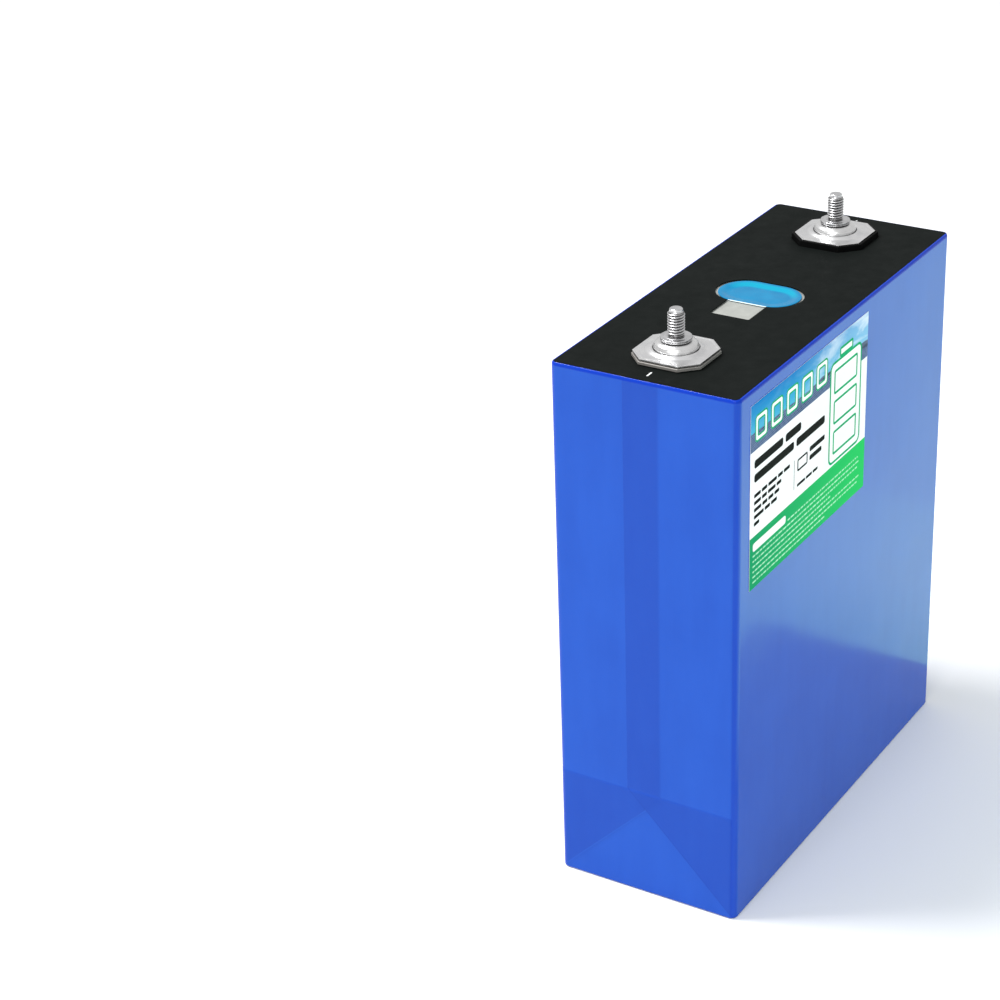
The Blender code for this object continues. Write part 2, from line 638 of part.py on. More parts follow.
def main():
    """Empty the scene and build the cell from the outside in."""
    for obj in list(bpy.data.objects):
        bpy.data.objects.remove(obj, do_unlink=True)
    build_wrap_film()
    build_side_label()
    build_top_sheet()
    build_vent_film()
    build_case()
    build_lid()
    build_vent_disc()
    build_fill_port()
    build_terminals()
    build_lower_plates()
    build_collectors()
    build_tab_bundles()
    build_rolls()
    build_binding_tapes()
    build_bag_and_board()


main()
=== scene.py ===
"""Looks of the prismatic battery cell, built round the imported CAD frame.

Metres, +Z up. +X runs from the negative terminal to the positive one, and the label is
on the -Y face. Every new piece keeps its origin at the frame's origin, so a material's
object coordinates are places on the cell.
"""

import random
from math import atan2, cos, pi, radians, sin, sqrt, tan

import bmesh
import bpy
from mathutils import Matrix, Vector


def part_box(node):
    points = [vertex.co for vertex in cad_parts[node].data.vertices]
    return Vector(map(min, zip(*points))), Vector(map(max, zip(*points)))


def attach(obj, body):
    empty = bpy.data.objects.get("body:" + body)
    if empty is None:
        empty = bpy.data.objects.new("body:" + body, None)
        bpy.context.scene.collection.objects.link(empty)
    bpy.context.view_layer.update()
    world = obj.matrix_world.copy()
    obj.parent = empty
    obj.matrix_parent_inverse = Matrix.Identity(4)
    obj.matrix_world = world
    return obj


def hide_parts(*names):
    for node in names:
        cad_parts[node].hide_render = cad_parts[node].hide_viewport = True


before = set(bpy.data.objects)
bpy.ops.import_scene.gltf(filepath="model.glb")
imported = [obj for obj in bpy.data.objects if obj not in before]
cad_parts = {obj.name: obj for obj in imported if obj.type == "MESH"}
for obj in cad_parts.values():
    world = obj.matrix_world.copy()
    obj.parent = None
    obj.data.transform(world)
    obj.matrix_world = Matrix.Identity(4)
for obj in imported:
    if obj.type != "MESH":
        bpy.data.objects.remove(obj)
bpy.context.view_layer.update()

MM = 0.001
LABEL_TURN = Matrix.Rotation(radians(90), 4, "X")      # lays a plate's XY onto the -Y face

# Film wrap: one sheet folded up round the cell, with its flaps on the two narrow faces
FILM_LAYER = 0.08 * MM
FILM_WALL = 0.3 * MM
FILM_CORNER = 2.5 * MM
FILM_FOOT = 0.8 * MM
FRONT_FLAP_EDGE = 7.6 * MM           # Y of the outer flap's free edge
REAR_FLAP_EDGE = -5.2 * MM           # Y of the edge hidden under it
BOTTOM_FLAP_TOP = 42.2 * MM
RIM_HEIGHT = 1.4 * MM                # the film's top edge leans in over the case
RIM_LEAN = 0.6 * MM
END_WALL = 0.07 * MM                 # the single layer under the flaps at the ends

# Label, measured down from its top edge and in from its sides
PICTURE_HEIGHT = 17.2 * MM
GREEN_HEIGHT = 19.8 * MM
LABEL_CORNER = 0.35 * MM
INK = 0.012 * MM
PRINT_GLOSS = 0.006
PRINT_INSET = 0.01 * MM              # the print stops just short of the label's edge

# Vent and window, matching the openings in the CAD sheet
VENT_OPENING = (33.0 * MM, 20.8 * MM)
WINDOW_WIDTH = 15.3 * MM
WINDOW_OUTER_X = -23.8 * MM
WINDOW_CORNER = 0.4 * MM

# Terminals
COLLAR = ((10.6, 0.0), (10.1, 0.06), (9.7, 0.28), (9.25, 0.66), (8.85, 0.86), (8.45, 0.9), (8.2, 0.84),
          (8.1, 0.7))                # radius and height above the plate, mm
COLLAR_HEIGHT = max(height for radius, height in COLLAR) * MM
GROOVE_INSET = 0.9 * MM
GROOVE_WIDTH = 0.3 * MM
GROOVE_DEPTH = 0.07 * MM
RIVET_SEAT_RADIUS = 8.1 * MM
RIVET_SEAT_DEPTH = 0.3 * MM
SHANK_HOLE = 5.3 * MM
SHANK_RADIUS = 5.0 * MM
THREAD_PITCH = 1.0 * MM
THREAD_CREST = 3.0 * MM
THREAD_ROOT = 2.5 * MM
THREAD_FLAT = 0.13                   # share of half a turn that is flat, at the crest and at the root
STUD_FLANGE_RADIUS = 5.5 * MM
STUD_FLANGE_THICKNESS = 1.1 * MM

film_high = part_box("wrap_film")[1]
label_low, label_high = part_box("side_label")
sheet_low, sheet_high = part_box("top_insulation_sheet")
vent_low, vent_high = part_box("vent_cover_film")
HALF_LENGTH, HALF_THICKNESS = film_high.x, film_high.y
PRINT_SIDES = label_low.x + PRINT_INSET, label_high.x - PRINT_INSET
FLAP_PLANE = HALF_LENGTH - 4 * FILM_LAYER       # face of the bottom flap, under the side flaps
RIM_LEVELS = [film_high.z - RIM_HEIGHT + RIM_HEIGHT * sin(radians(15 * step)) for step in range(1, 7)]


# ---- outlines and curves
def smooth_step(value, start, end):
    """0 before start, 1 after end and an S between them."""
    share = min(1.0, max(0.0, (value - start) / (end - start)))
    return share * share * (3 - 2 * share)


def rounded_rectangle(length, width, radius, steps=8, centre=(0, 0)):
    """Counter-clockwise outline with round corners."""
    points = []
    for quarter, (sx, sy) in enumerate(((1, 1), (-1, 1), (-1, -1), (1, -1))):
        for step in range(steps + 1):
            angle = radians(90 * (quarter + step / steps))
            points.append((centre[0] + sx * (length / 2 - radius) + radius * cos(angle),
                           centre[1] + sy * (width / 2 - radius) + radius * sin(angle)))
    return points


def racetrack_across(across, along, steps=40):
    """Outline with half-round ends, its long axis across the cell."""
    radius = along / 2
    points = []
    for side in (1, -1):
        for step in range(steps + 1):
            angle = radians(180 * step / steps - 90)
            points.append((-side * radius * sin(angle),
                           side * (across / 2 - radius + radius * cos(angle))))
    return points


def bend(start, corner, end, steps):
    """Points of a soft bend from start to end, drawn towards a corner."""
    shares = [step / steps for step in range(steps + 1)]
    return [start * (1 - s) ** 2 + corner * 2 * s * (1 - s) + end * s ** 2 for s in shares]


def four_times(points):
    """Points repeated at each quarter turn."""
    quarters = ((1, 0), (0, 1), (-1, 0), (0, -1))
    return [(x * ahead - y * left, x * left + y * ahead) for ahead, left in quarters for x, y in points]


def cut_corner_square(half, leg, radius, inset=0.0, edge_steps=14, arc_steps=4):
    """Square with its corners cut off, moved in by an inset, each of its eight corners slightly round."""
    half, leg = half - inset, leg - inset * (2 - sqrt(2))
    corners = [Vector(corner) for corner in four_times([(half, leg - half), (half, half - leg)])]
    reach = radius * tan(radians(22.5))
    points = []
    for before, here, after in zip(corners[-1:] + corners, corners, corners[1:] + corners[:1]):
        ahead = (after - here).normalized()
        start, end = here + (before - here).normalized() * reach, here + ahead * reach
        points += bend(start, here, end, arc_steps)
        points += [end.lerp(after - ahead * reach, step / edge_steps) for step in range(1, edge_steps)]
    return [(point.x, point.y) for point in points]


def circle_facing(outline, radius):
    """Circle with one point on the bearing of each point of an outline."""
    return [(radius * cos(b), radius * sin(b))
            for b in (atan2(y, x) for x, y in outline)]


def circle(radius, count):
    """Evenly divided circle."""
    return [(radius * cos(2 * pi * i / count), radius * sin(2 * pi * i / count))
            for i in range(count)]


def at_height(outline, z):
    """Outline lifted to a height."""
    return [(x, y, z) for x, y in outline]


def fillet(path, radius, steps=4):
    """Open path of (radius, height) points with its inner corners rounded."""
    points = [path[0]]
    for before, corner, after in zip(path, path[1:], path[2:]):
        here = Vector(corner)
        to_before, to_after = Vector(before) - here, Vector(after) - here
        reach = min(radius, to_before.length * 0.45, to_after.length * 0.45)
        start, end = here + to_before.normalized() * reach, here + to_after.normalized() * reach
        points += [(point.x, point.y) for point in bend(start, here, end, steps)]
    points.append(path[-1])
    return points


# ---- meshes
def loft(rings, closed=False):
    """Bridge rings of equal length, the path running up the outside from the underside."""
    bm = bmesh.new()
    loops = [[bm.verts.new(point) for point in ring] for ring in rings]
    pairs = list(zip(loops, loops[1:]))
    if closed:
        pairs.append((loops[-1], loops[0]))
    else:
        bm.faces.new(reversed(loops[0]))
        bm.faces.new(loops[-1])
    for low, high in pairs:
        for i in range(len(low)):
            j = (i + 1) % len(low)
            bm.faces.new((low[i], low[j], high[j], high[i]))
    return bm


def lathe(profile, count=96):
    """Turn a profile of (radius, height) points about Z."""
    return loft([at_height(circle(radius, count), z) for radius, z in profile])


def add_plate(bm, outlines, bottom, top, edge=0.0):
    """Add a flat plate to a mesh: the first outline is its outside and the rest are holes."""
    part = bmesh.new()
    for outline in outlines:
        ring = [part.verts.new((x, y, bottom)) for x, y in outline]
        for a, b in zip(ring, ring[1:] + ring[:1]):
            part.edges.new((a, b))
    bmesh.ops.triangle_fill(part, use_beauty=True, use_dissolve=False, edges=part.edges[:])
    made = bmesh.ops.extrude_face_region(part, geom=part.faces[:], use_keep_orig=True)
    lifted = [item for item in made["geom"] if isinstance(item, bmesh.types.BMVert)]
    bmesh.ops.translate(part, verts=lifted, vec=(0, 0, top - bottom))
    bmesh.ops.recalc_face_normals(part, faces=part.faces[:])
    if edge:
        rim = [e for e in part.edges if e.calc_face_angle() > radians(70)]
        bmesh.ops.bevel(part, geom=rim, offset=edge, offset_type="OFFSET", segments=2, profile=0.5,
                        affect="EDGES", clamp_overlap=True)
    mesh = bpy.data.meshes.new("plate")
    part.to_mesh(mesh)
    part.free()
    bm.from_mesh(mesh)
    bpy.data.meshes.remove(mesh)
    return bm


def plate(outlines, bottom, top, edge=0.0):
    """One flat plate with holes."""
    return add_plate(bmesh.new(), outlines, bottom, top, edge)


def link_object(name, data):
    """New object in the scene."""
    made = bpy.data.objects.new(name, data)
    bpy.context.scene.collection.objects.link(made)
    return made


def mesh_object(name, bm, material):
    """New object from a finished mesh and its one material."""
    mesh = bpy.data.meshes.new(name)
    bm.to_mesh(mesh)
    bm.free()
    mesh.materials.append(material)
    return link_object(name, mesh)


def add_piece(name, bm, material, replaces=(), turn=None, at_x=0.0, sharp=32):
    """Turn a mesh into a piece of the cell that rides on the body and stands for CAD nodes."""
    bmesh.ops.transform(bm, matrix=turn or Matrix.Translation((at_x, 0, 0)), verts=bm.verts[:])
    if bm.calc_volume(signed=True) < 0:
        bmesh.ops.reverse_faces(bm, faces=bm.faces[:])
    piece = mesh_object(name, bm, material)
    piece.data.shade_smooth()
    piece.data.set_sharp_from_angle(angle=radians(sharp))
    weighted = piece.modifiers.new("even_shading", "WEIGHTED_NORMAL")
    weighted.keep_sharp = True
    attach(piece, "root")
    if replaces:
        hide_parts(*replaces)


# ---- material nodes
HOLLOW_SHADE = (0.035, 0.034, 0.033)        # painted shade for threads, grooves and hollows


class Surface:
    """A procedural material. Its methods add nodes and link the sockets they are given."""

    def __init__(self, name):
        self.material = bpy.data.materials.new(name)
        self.material.use_nodes = True
        self.tree = self.material.node_tree
        self.shader = self.tree.nodes["Principled BSDF"]
        self.place = self.node("TexCoord").outputs["Object"]

    def node(self, kind, inputs=None, **settings):
        """New node with its inputs fed and its own settings made."""
        made = self.tree.nodes.new("ShaderNode" + kind)
        for key, value in settings.items():
            setattr(made, key, value)
        for key, value in (inputs or {}).items():
            self.feed(made.inputs[key], value)
        return made

    def feed(self, socket, value):
        """Link another node's output to a socket, or give it a plain value."""
        if isinstance(value, bpy.types.NodeSocket):
            self.tree.links.new(value, socket)
        elif socket.type == "RGBA" and len(value) == 3:
            socket.default_value = (*value, 1.0)
        else:
            socket.default_value = value

    def noise(self, size, detail, rough=0.55, stretch=None, twist=0.0):
        """Noise whose blotches are about a size across, in coordinates stretched on each axis."""
        place = self.place
        if stretch:
            place = self.node("Mapping", {"Vector": place, "Scale": stretch}).outputs[0]
        inputs = {"Vector": place, "Scale": 1 / size, "Detail": detail, "Roughness": rough,
                  "Distortion": twist}
        return self.node("TexNoise", inputs).outputs["Fac"]

    def span(self, value, low, high, start=0.3, end=0.7):
        """Value from start to end mapped onto low to high, and held outside."""
        inputs = {"Value": value, "From Min": start, "From Max": end, "To Min": low, "To Max": high}
        return self.node("MapRange", inputs, clamp=True).outputs["Result"]

    def maths(self, operation, *values):
        """Result of a maths node."""
        inputs = dict(enumerate(values))
        return self.node("Math", inputs, operation=operation).outputs[0]

    def axis(self, name):
        """One object coordinate, in metres."""
        return self.node("SeparateXYZ", {0: self.place}).outputs[name.upper()]

    def blend(self, share, first, second):
        """Colour between two colours."""
        return self.node("Mix", {0: share, 6: first, 7: second}, data_type="RGBA").outputs[2]

    def multiply(self, *values):
        """Product of two values."""
        return self.maths("MULTIPLY", *values)

    def mottle(self, first, second, size, detail=4, rough=0.55):
        """Cloudy mix of two close tones, in blotches about a size across."""
        return self.blend(self.span(self.noise(size, detail, rough), 0, 1), first, second)

    def edges(self, radius, start=0.985, end=0.9):
        """1 on edges of about a radius, 0 on flats."""
        rounded = self.node("Bevel", {"Radius": radius}, samples=4).outputs[0]
        flat = self.node("NewGeometry").outputs["Normal"]
        alike = self.node("VectorMath", {0: rounded, 1: flat}, operation="DOT_PRODUCT")
        return self.span(alike.outputs["Value"], 0.0, 1.0, start, end)

    def turning(self, flat=0.984, turned=0.93):
        """0 on faces square to an axis, 1 on the rounded edges between them."""
        normal = self.node("NewGeometry").outputs["Normal"]
        absolute = self.node("VectorMath", {0: normal}, operation="ABSOLUTE").outputs[0]
        parts = self.node("SeparateXYZ", {0: absolute})
        largest = self.maths("MAXIMUM", self.maths("MAXIMUM", parts.outputs[0], parts.outputs[1]),
                             parts.outputs[2])
        return self.span(largest, 1.0, 0.0, turned, flat)

    def from_axis(self, centre_x):
        """Distance from a vertical axis, in metres."""
        local = self.node("Mapping", {"Vector": self.place, "Location": (-centre_x, 0, 0)})
        flat = self.node("VectorMath", {0: local.outputs[0], 1: (1, 1, 0)}, operation="MULTIPLY")
        return self.node("VectorMath", {0: flat.outputs[0]}, operation="LENGTH").outputs["Value"]

    def finish(self, colour, roughness, *relief, metallic=0.0, specular=0.5, tint=(1, 1, 1)):
        """Feed the shader. The relief is given as (height, distance) layers."""
        values = {"Base Color": colour, "Roughness": roughness, "Metallic": metallic,
                  "Specular IOR Level": specular, "Specular Tint": tint}
        for height, distance in relief:
            bump = {"Height": height, "Distance": distance, "Strength": 1.0}
            if "Normal" in values:
                bump["Normal"] = values["Normal"]
            values["Normal"] = self.node("Bump", bump).outputs[0]
        for key, value in values.items():
            self.feed(self.shader.inputs[key], value)
        return self.material

    def printed(self, colour):
        """Finish as ink on the label."""
        return self.finish(colour, self.span(self.noise(9 * MM, 3), 0.38, 0.46),
                           (self.noise(20 * MM, 2), 0.05 * MM), specular=PRINT_GLOSS)


def lighter(colour, gain, lift=0.0):
    """Colour times a gain, plus a lift."""
    return tuple(min(1.0, c * gain + lift) for c in colour)


def fold_line(s, side):
    """The 45 degree fold at the foot of a side flap: the rear flap's is side 1, the front one's -1. Mask
    for the painted highlight and painted shade lines along the folds.
    """
    end_face = s.span(s.maths("ABSOLUTE", s.axis("x")), 0.0, 1.0, FLAP_PLANE - FILM_CORNER, FLAP_PLANE)
    rise = s.maths("ADD", s.axis("z"), s.multiply(s.axis("y"), side))
    distance = s.maths("ABSOLUTE", s.maths("SUBTRACT", rise, HALF_THICKNESS))
    line = s.span(distance, 0.6, 0.0, 0.0, 0.55 * MM)
    reach = FRONT_FLAP_EDGE if side < 0 else 0.0
    shown = s.span(s.multiply(s.axis("y"), side), 0.0, 1.0, -reach - 0.1 * MM, -reach)
    return s.multiply(s.multiply(line, end_face), shown)


def film_material():
    """Blue film: darker where layers lie on each other, with painted shade on its rounded edges and its
    top rim, and painted highlight and shade lines along the folds.
    """
    s = Surface("film_blue")
    layers = s.node("Attribute", attribute_name="layers").outputs["Fac"]
    streaks = s.noise(7 * MM, 4, 0.6, (1, 1, 0.18))
    cloudy = s.maths("ADD", s.multiply(streaks, 0.45), s.multiply(s.noise(30 * MM, 4), 0.55))
    cloudy = s.span(cloudy, 0, 1, 0.38, 0.62)
    single = s.blend(cloudy, (0.0108, 0.0715, 0.422), (0.0128, 0.0800, 0.452))
    double = s.blend(cloudy, (0.0090, 0.0575, 0.376), (0.0102, 0.0630, 0.394))
    colour = s.blend(s.span(layers, 0.0, 1.0, 1.0, 1.9), single, double)
    colour = s.blend(s.span(layers, 0.0, 0.22, 3.2, 4.8), colour, (0.006, 0.045, 0.33))
    # Painted highlight along the rear flap's fold, and painted shade along the front flap's folded edge.
    colour = s.blend(fold_line(s, 1), colour, (0.020, 0.105, 0.520))
    colour = s.blend(fold_line(s, -1), colour, (0.005, 0.040, 0.310))
    # Painted shade: the film is darkened on its rounded edges at half strength, and fully in the band
    # under its top edge where it leans in over the case.
    rim = s.span(s.axis("z"), 0.0, 1.0, film_high.z - RIM_HEIGHT, film_high.z - 0.7 * RIM_HEIGHT)
    painted_edge_shade = s.maths("MAXIMUM", s.multiply(s.turning(), 0.5), rim)
    colour = s.blend(painted_edge_shade, colour, (0.003, 0.034, 0.380))
    worn = s.multiply(s.edges(0.5 * MM), s.span(s.noise(3 * MM, 5), 0.0, 0.25, 0.45, 0.65))
    colour = s.blend(worn, colour, (0.035, 0.13, 0.55))
    rough = s.span(s.noise(12 * MM, 5, 0.6), 0.13, 0.18)
    return s.finish(colour, rough, (s.noise(60 * MM, 2), 0.25 * MM), (streaks, 0.012 * MM),
                    (s.noise(0.5 * MM, 2), 0.001 * MM), specular=0.14)


def sheet_material():
    """Matt black sheet with a fine grain."""
    s = Surface("sheet_black")
    colour = s.mottle((0.0052, 0.0064, 0.0060), (0.0070, 0.0084, 0.0079), 9 * MM, 6, 0.6)
    specks = s.span(s.noise(0.35 * MM, 2), 0.0, 0.3, 0.60, 0.75)
    colour = s.blend(specks, colour, (0.018, 0.021, 0.020))
    colour = s.blend(s.multiply(s.edges(0.1 * MM), 0.3), colour, (0.020, 0.023, 0.022))
    rough = s.span(s.noise(5 * MM, 5), 0.50, 0.62)
    return s.finish(colour, rough, (s.noise(30 * MM, 2), 0.12 * MM), (s.noise(0.28 * MM, 3), 0.012 * MM),
                    specular=0.02)


def vent_film_material():
    """Glossy blue film, with a painted highlight on the slope at its far side, and pale on its cut edge
    by the window.
    """
    s = Surface("vent_film_cyan")
    colour = s.mottle((0.003, 0.146, 0.308), (0.005, 0.178, 0.350), 7 * MM)
    # Painted highlight: the slope that faces -X, on the +X side of the dish, is lightened by its normal.
    normal = s.node("NewGeometry").outputs["Normal"]
    lean = s.node("SeparateXYZ", {0: normal}).outputs["X"]
    painted_slope_highlight = s.multiply(s.span(lean, 1.0, 0.0, -0.20, -0.02), s.span(s.axis("x"), 0, 1, 0, 3 * MM))
    colour = s.blend(painted_slope_highlight, colour, (0.006, 0.255, 0.385))
    half, soft = WINDOW_WIDTH / 2, 0.15 * MM
    by_window = s.multiply(s.span(s.axis("x"), 1.0, 0.0, -9.85 * MM, -9.6 * MM),
                           s.span(s.maths("ABSOLUTE", s.axis("y")), 1.0, 0.0, half - soft, half + soft))
    colour = s.blend(by_window, colour, (0.70, 0.82, 0.86))
    return s.finish(colour, s.span(s.noise(6 * MM, 4), 0.16, 0.24), (s.noise(5 * MM, 2), 0.10 * MM),
                    specular=0.12, tint=(0.12, 0.8, 1.0))


def metal_material(name, colour, dark, rough, grain=0.6 * MM, metallic=1.0, wear=0.35 * MM):
    """Satin metal: mottled tone, fine grain and brighter rubbed edges."""
    s = Surface(name)
    tone = s.mottle(dark, colour, 4 * MM, 5, 0.6)
    rubbed = s.edges(wear)
    tone = s.blend(rubbed, tone, lighter(colour, 1.12))
    grains = s.noise(grain, 4, 0.6)
    roughness = s.span(grains, rough - 0.06, rough + 0.08)
    roughness = s.maths("SUBTRACT", roughness, s.multiply(rubbed, 0.08))
    return s.finish(tone, roughness, (grains, 0.006 * MM), (s.noise(2.5 * MM, 2), 0.02 * MM),
                    metallic=metallic)


def turned_material(name, colour, dark, rough, centre_x):
    """Satin metal with the fine rings left by a tool turning about a terminal's axis."""
    s = Surface(name)
    ring_place = s.node("CombineXYZ", {0: s.multiply(s.from_axis(centre_x), 1 / (0.16 * MM))})
    rings = s.node("TexNoise", {"Vector": ring_place.outputs[0], "Scale": 1.0, "Detail": 2.0}).outputs[0]
    tone = s.mottle(dark, colour, 5 * MM, 5, 0.6)
    tone = s.blend(s.edges(0.3 * MM), tone, lighter(colour, 1.1))
    # Painted shade: ambient occlusion darkens hollows and the gaps beside other parts.
    hollow = s.node("AmbientOcclusion", {"Distance": 0.5 * MM}, samples=6).outputs["AO"]
    tone = s.blend(s.span(hollow, 0.85, 0.0, 0.20, 0.60), tone, HOLLOW_SHADE)
    return s.finish(tone, s.span(rings, rough - 0.05, rough + 0.07), (rings, 0.004 * MM),
                    (s.noise(3 * MM, 2), 0.03 * MM), metallic=1.0)


def stud_material(name, centre_x, thread_top):
    """Bright steel, dull and darkened down in the thread by painted shade."""
    s = Surface(name)
    # Painted shade: the thread is darkened from crest to root, up to the thread's top.
    depth = s.span(s.from_axis(centre_x), 0.9, 0.0, THREAD_ROOT + 0.04 * MM, THREAD_CREST - 0.14 * MM)
    depth = s.multiply(depth, s.span(s.axis("z"), 1.0, 0.0, thread_top - 0.05 * MM, thread_top))
    tone = s.mottle((0.56, 0.56, 0.57), (0.70, 0.70, 0.71), 3 * MM, 4, 0.6)
    tone = s.blend(depth, tone, HOLLOW_SHADE)
    return s.finish(tone, s.span(s.noise(0.9 * MM, 3), 0.22, 0.32), (s.noise(1.5 * MM, 2), 0.004 * MM),
                    metallic=1.0)


def plastic_material(name, colour, light, rough, grain=0.4 * MM, specular=0.5):
    """Moulded plastic, paper or rubber: two close tones, fine grain and paler edges."""
    s = Surface(name)
    tone = s.mottle(colour, light, 8 * MM, 5)
    tone = s.blend(s.multiply(s.edges(0.3 * MM), 0.6), tone, lighter(light, 1.25, 0.004))
    return s.finish(tone, s.span(s.noise(3 * MM, 4), rough - 0.05, rough + 0.07),
                    (s.noise(grain, 3), 0.008 * MM), specular=specular)


def ink_material(name, colour, light, grain=0.4 * MM):
    """Paper of the label, or one plain ink on it."""
    return plastic_material(name, colour, light, 0.4, grain, PRINT_GLOSS)


def layered_material(name, colour, dark, rough, pitch, axis, metallic=0.0):
    """Stack of thin foils or windings, seen as fine lines across one axis."""
    s = Surface(name)
    stretch = [0.02, 0.02, 0.02]
    stretch["xyz".index(axis)] = 1.0
    lines = s.noise(pitch, 3, 0.6, stretch)
    tone = s.blend(s.span(lines, 0, 1), dark, colour)
    tone = s.blend(s.span(s.noise(20 * MM, 4), 0.0, 0.25), tone, dark)
    tone = s.blend(s.multiply(s.edges(0.3 * MM), 0.5), tone, colour)
    return s.finish(tone, s.span(lines, rough - 0.05, rough + 0.1), (lines, 0.03 * MM), metallic=metallic)


def sky_material():
    """Printed sky: deep blue above left, paler and clouded towards the right and the horizon."""
    s = Surface("print_sky")
    along = s.span(s.axis("x"), 0.0, 1.0, label_low.x, label_high.x)
    up = s.span(s.axis("z"), 0.0, 1.0, label_high.z - PICTURE_HEIGHT * 0.75, label_high.z)
    clear = s.blend(up, (0.075, 0.46, 0.66), (0.004, 0.185, 0.490))
    clear = s.blend(s.span(along, 0.0, 0.75, 0.35, 1.0), clear, (0.30, 0.55, 0.75))
    clouds = s.span(s.noise(9 * MM, 5, 0.55, (0.45, 1, 1.5), 0.5), 0.0, 1.0, 0.43, 0.66)
    cover = s.multiply(clouds, s.span(along, 0.05, 1.0, 0.35, 0.9))
    colour = s.blend(cover, clear, (0.84, 0.89, 0.92))
    return s.printed(colour)


def green_material():
    """Printed green band, lighter to the right."""
    s = Surface("print_green")
    along = s.span(s.axis("x"), 0.0, 1.0, label_low.x, label_high.x)
    fleck = s.span(s.noise(0.9 * MM, 2), 0.0, 0.10)
    colour = s.blend(along, (0.008, 0.285, 0.115), (0.018, 0.540, 0.115))
    colour = s.blend(fleck, colour, (0.03, 0.45, 0.18))
    return s.printed(colour)


def array_material():
    """Printed rows of dark panels with pale lines between them."""
    s = Surface("print_panels")
    turned = s.node("Mapping", {"Vector": s.place, "Rotation": (0, radians(4), 0)})
    places = s.node("SeparateXYZ", {0: turned.outputs[0]})
    lines = []
    slant = s.maths("ADD", places.outputs["X"], s.multiply(places.outputs["Z"], -2.2))
    for place, pitch, strength in ((slant, 2.6 * MM, 0.5), (places.outputs["Z"], 0.85 * MM, 1.0)):
        saw = s.maths("FRACT", s.maths("DIVIDE", place, pitch))
        lines.append(s.multiply(s.span(saw, 1.0, 0.0, 0.14, 0.24), strength))
    grid = s.maths("MAXIMUM", lines[0], lines[1])
    tone = s.mottle((0.028, 0.060, 0.150), (0.075, 0.130, 0.265), 6 * MM)
    colour = s.blend(s.multiply(grid, 0.45), tone, (0.50, 0.56, 0.66))
    return s.printed(colour)


def floor_material():
    """Plain pale floor."""
    s = Surface("floor_pale")
    tone = s.mottle((0.86, 0.86, 0.86), (0.88, 0.88, 0.88), 0.4, 3)
    return s.finish(tone, 0.7, specular=0.2)


# ---- film wrap
def film_ring(inset, z, end_inset):
    """The cell's outline moved in by an inset, and further at its two narrow ends."""
    return at_height(rounded_rectangle(2 * (HALF_LENGTH - inset - end_inset),
                                       2 * (HALF_THICKNESS - inset), FILM_CORNER - inset, steps=10), z)


def rim_lean(z):
    """How far the film leans in over the case at a height near its top edge."""
    share = min(1.0, max(0.0, (z - film_high.z + RIM_HEIGHT) / RIM_HEIGHT))
    return RIM_LEAN * (1 - sqrt(1 - share * share * 0.97))


def build_film_body(material):
    """The sheet over both wide faces and the base, closed at the ends by the bottom flaps."""
    top = film_high.z
    low_end, high_end = 4 * FILM_LAYER, 5 * FILM_LAYER
    turns = [radians(90 * step / 5) for step in range(6)]
    rings = [film_ring(FILM_FOOT * (1 - sin(a)), FILM_FOOT * (1 - cos(a)), low_end) for a in turns]
    rings += [film_ring(0, BOTTOM_FLAP_TOP - 0.3 * MM, low_end), film_ring(0, BOTTOM_FLAP_TOP, high_end),
              film_ring(0, top - RIM_HEIGHT, high_end)]
    rings += [film_ring(rim_lean(z), z, high_end) for z in RIM_LEVELS]
    inside = ((rim_lean(top) + FILM_WALL, top), (FILM_WALL, top - RIM_HEIGHT),
              (FILM_WALL, FILM_WALL + FILM_FOOT), (FILM_WALL + FILM_FOOT / 2, FILM_WALL))
    rings += [film_ring(inset, z, high_end - FILM_WALL + END_WALL) for inset, z in inside]
    add_piece("film_wrap", loft(rings), material, ["wrap_film"])


def flap_lift(front, y, z):
    """How far a side flap stands off the bottom flap's plane: it climbs over what lies under it."""
    below = 1.0 - smooth_step(z, BOTTOM_FLAP_TOP - 0.2 * MM, BOTTOM_FLAP_TOP + 1.2 * MM)
    lift = 2 * FILM_LAYER * below
    if front:
        soft = 0.7 * MM
        beyond_edge = smooth_step(y, REAR_FLAP_EDGE - soft, REAR_FLAP_EDGE)
        diagonal = HALF_THICKNESS - y
        over = beyond_edge * smooth_step(z, diagonal - soft, diagonal)
        lift += FILM_LAYER * (1 + below) * over
    return lift


def even_steps(start, end, spacing):
    """Values from start to end at about a spacing, both ends included."""
    count = max(1, round(abs(end - start) / spacing))
    return [start + (end - start) * i / count for i in range(count + 1)]


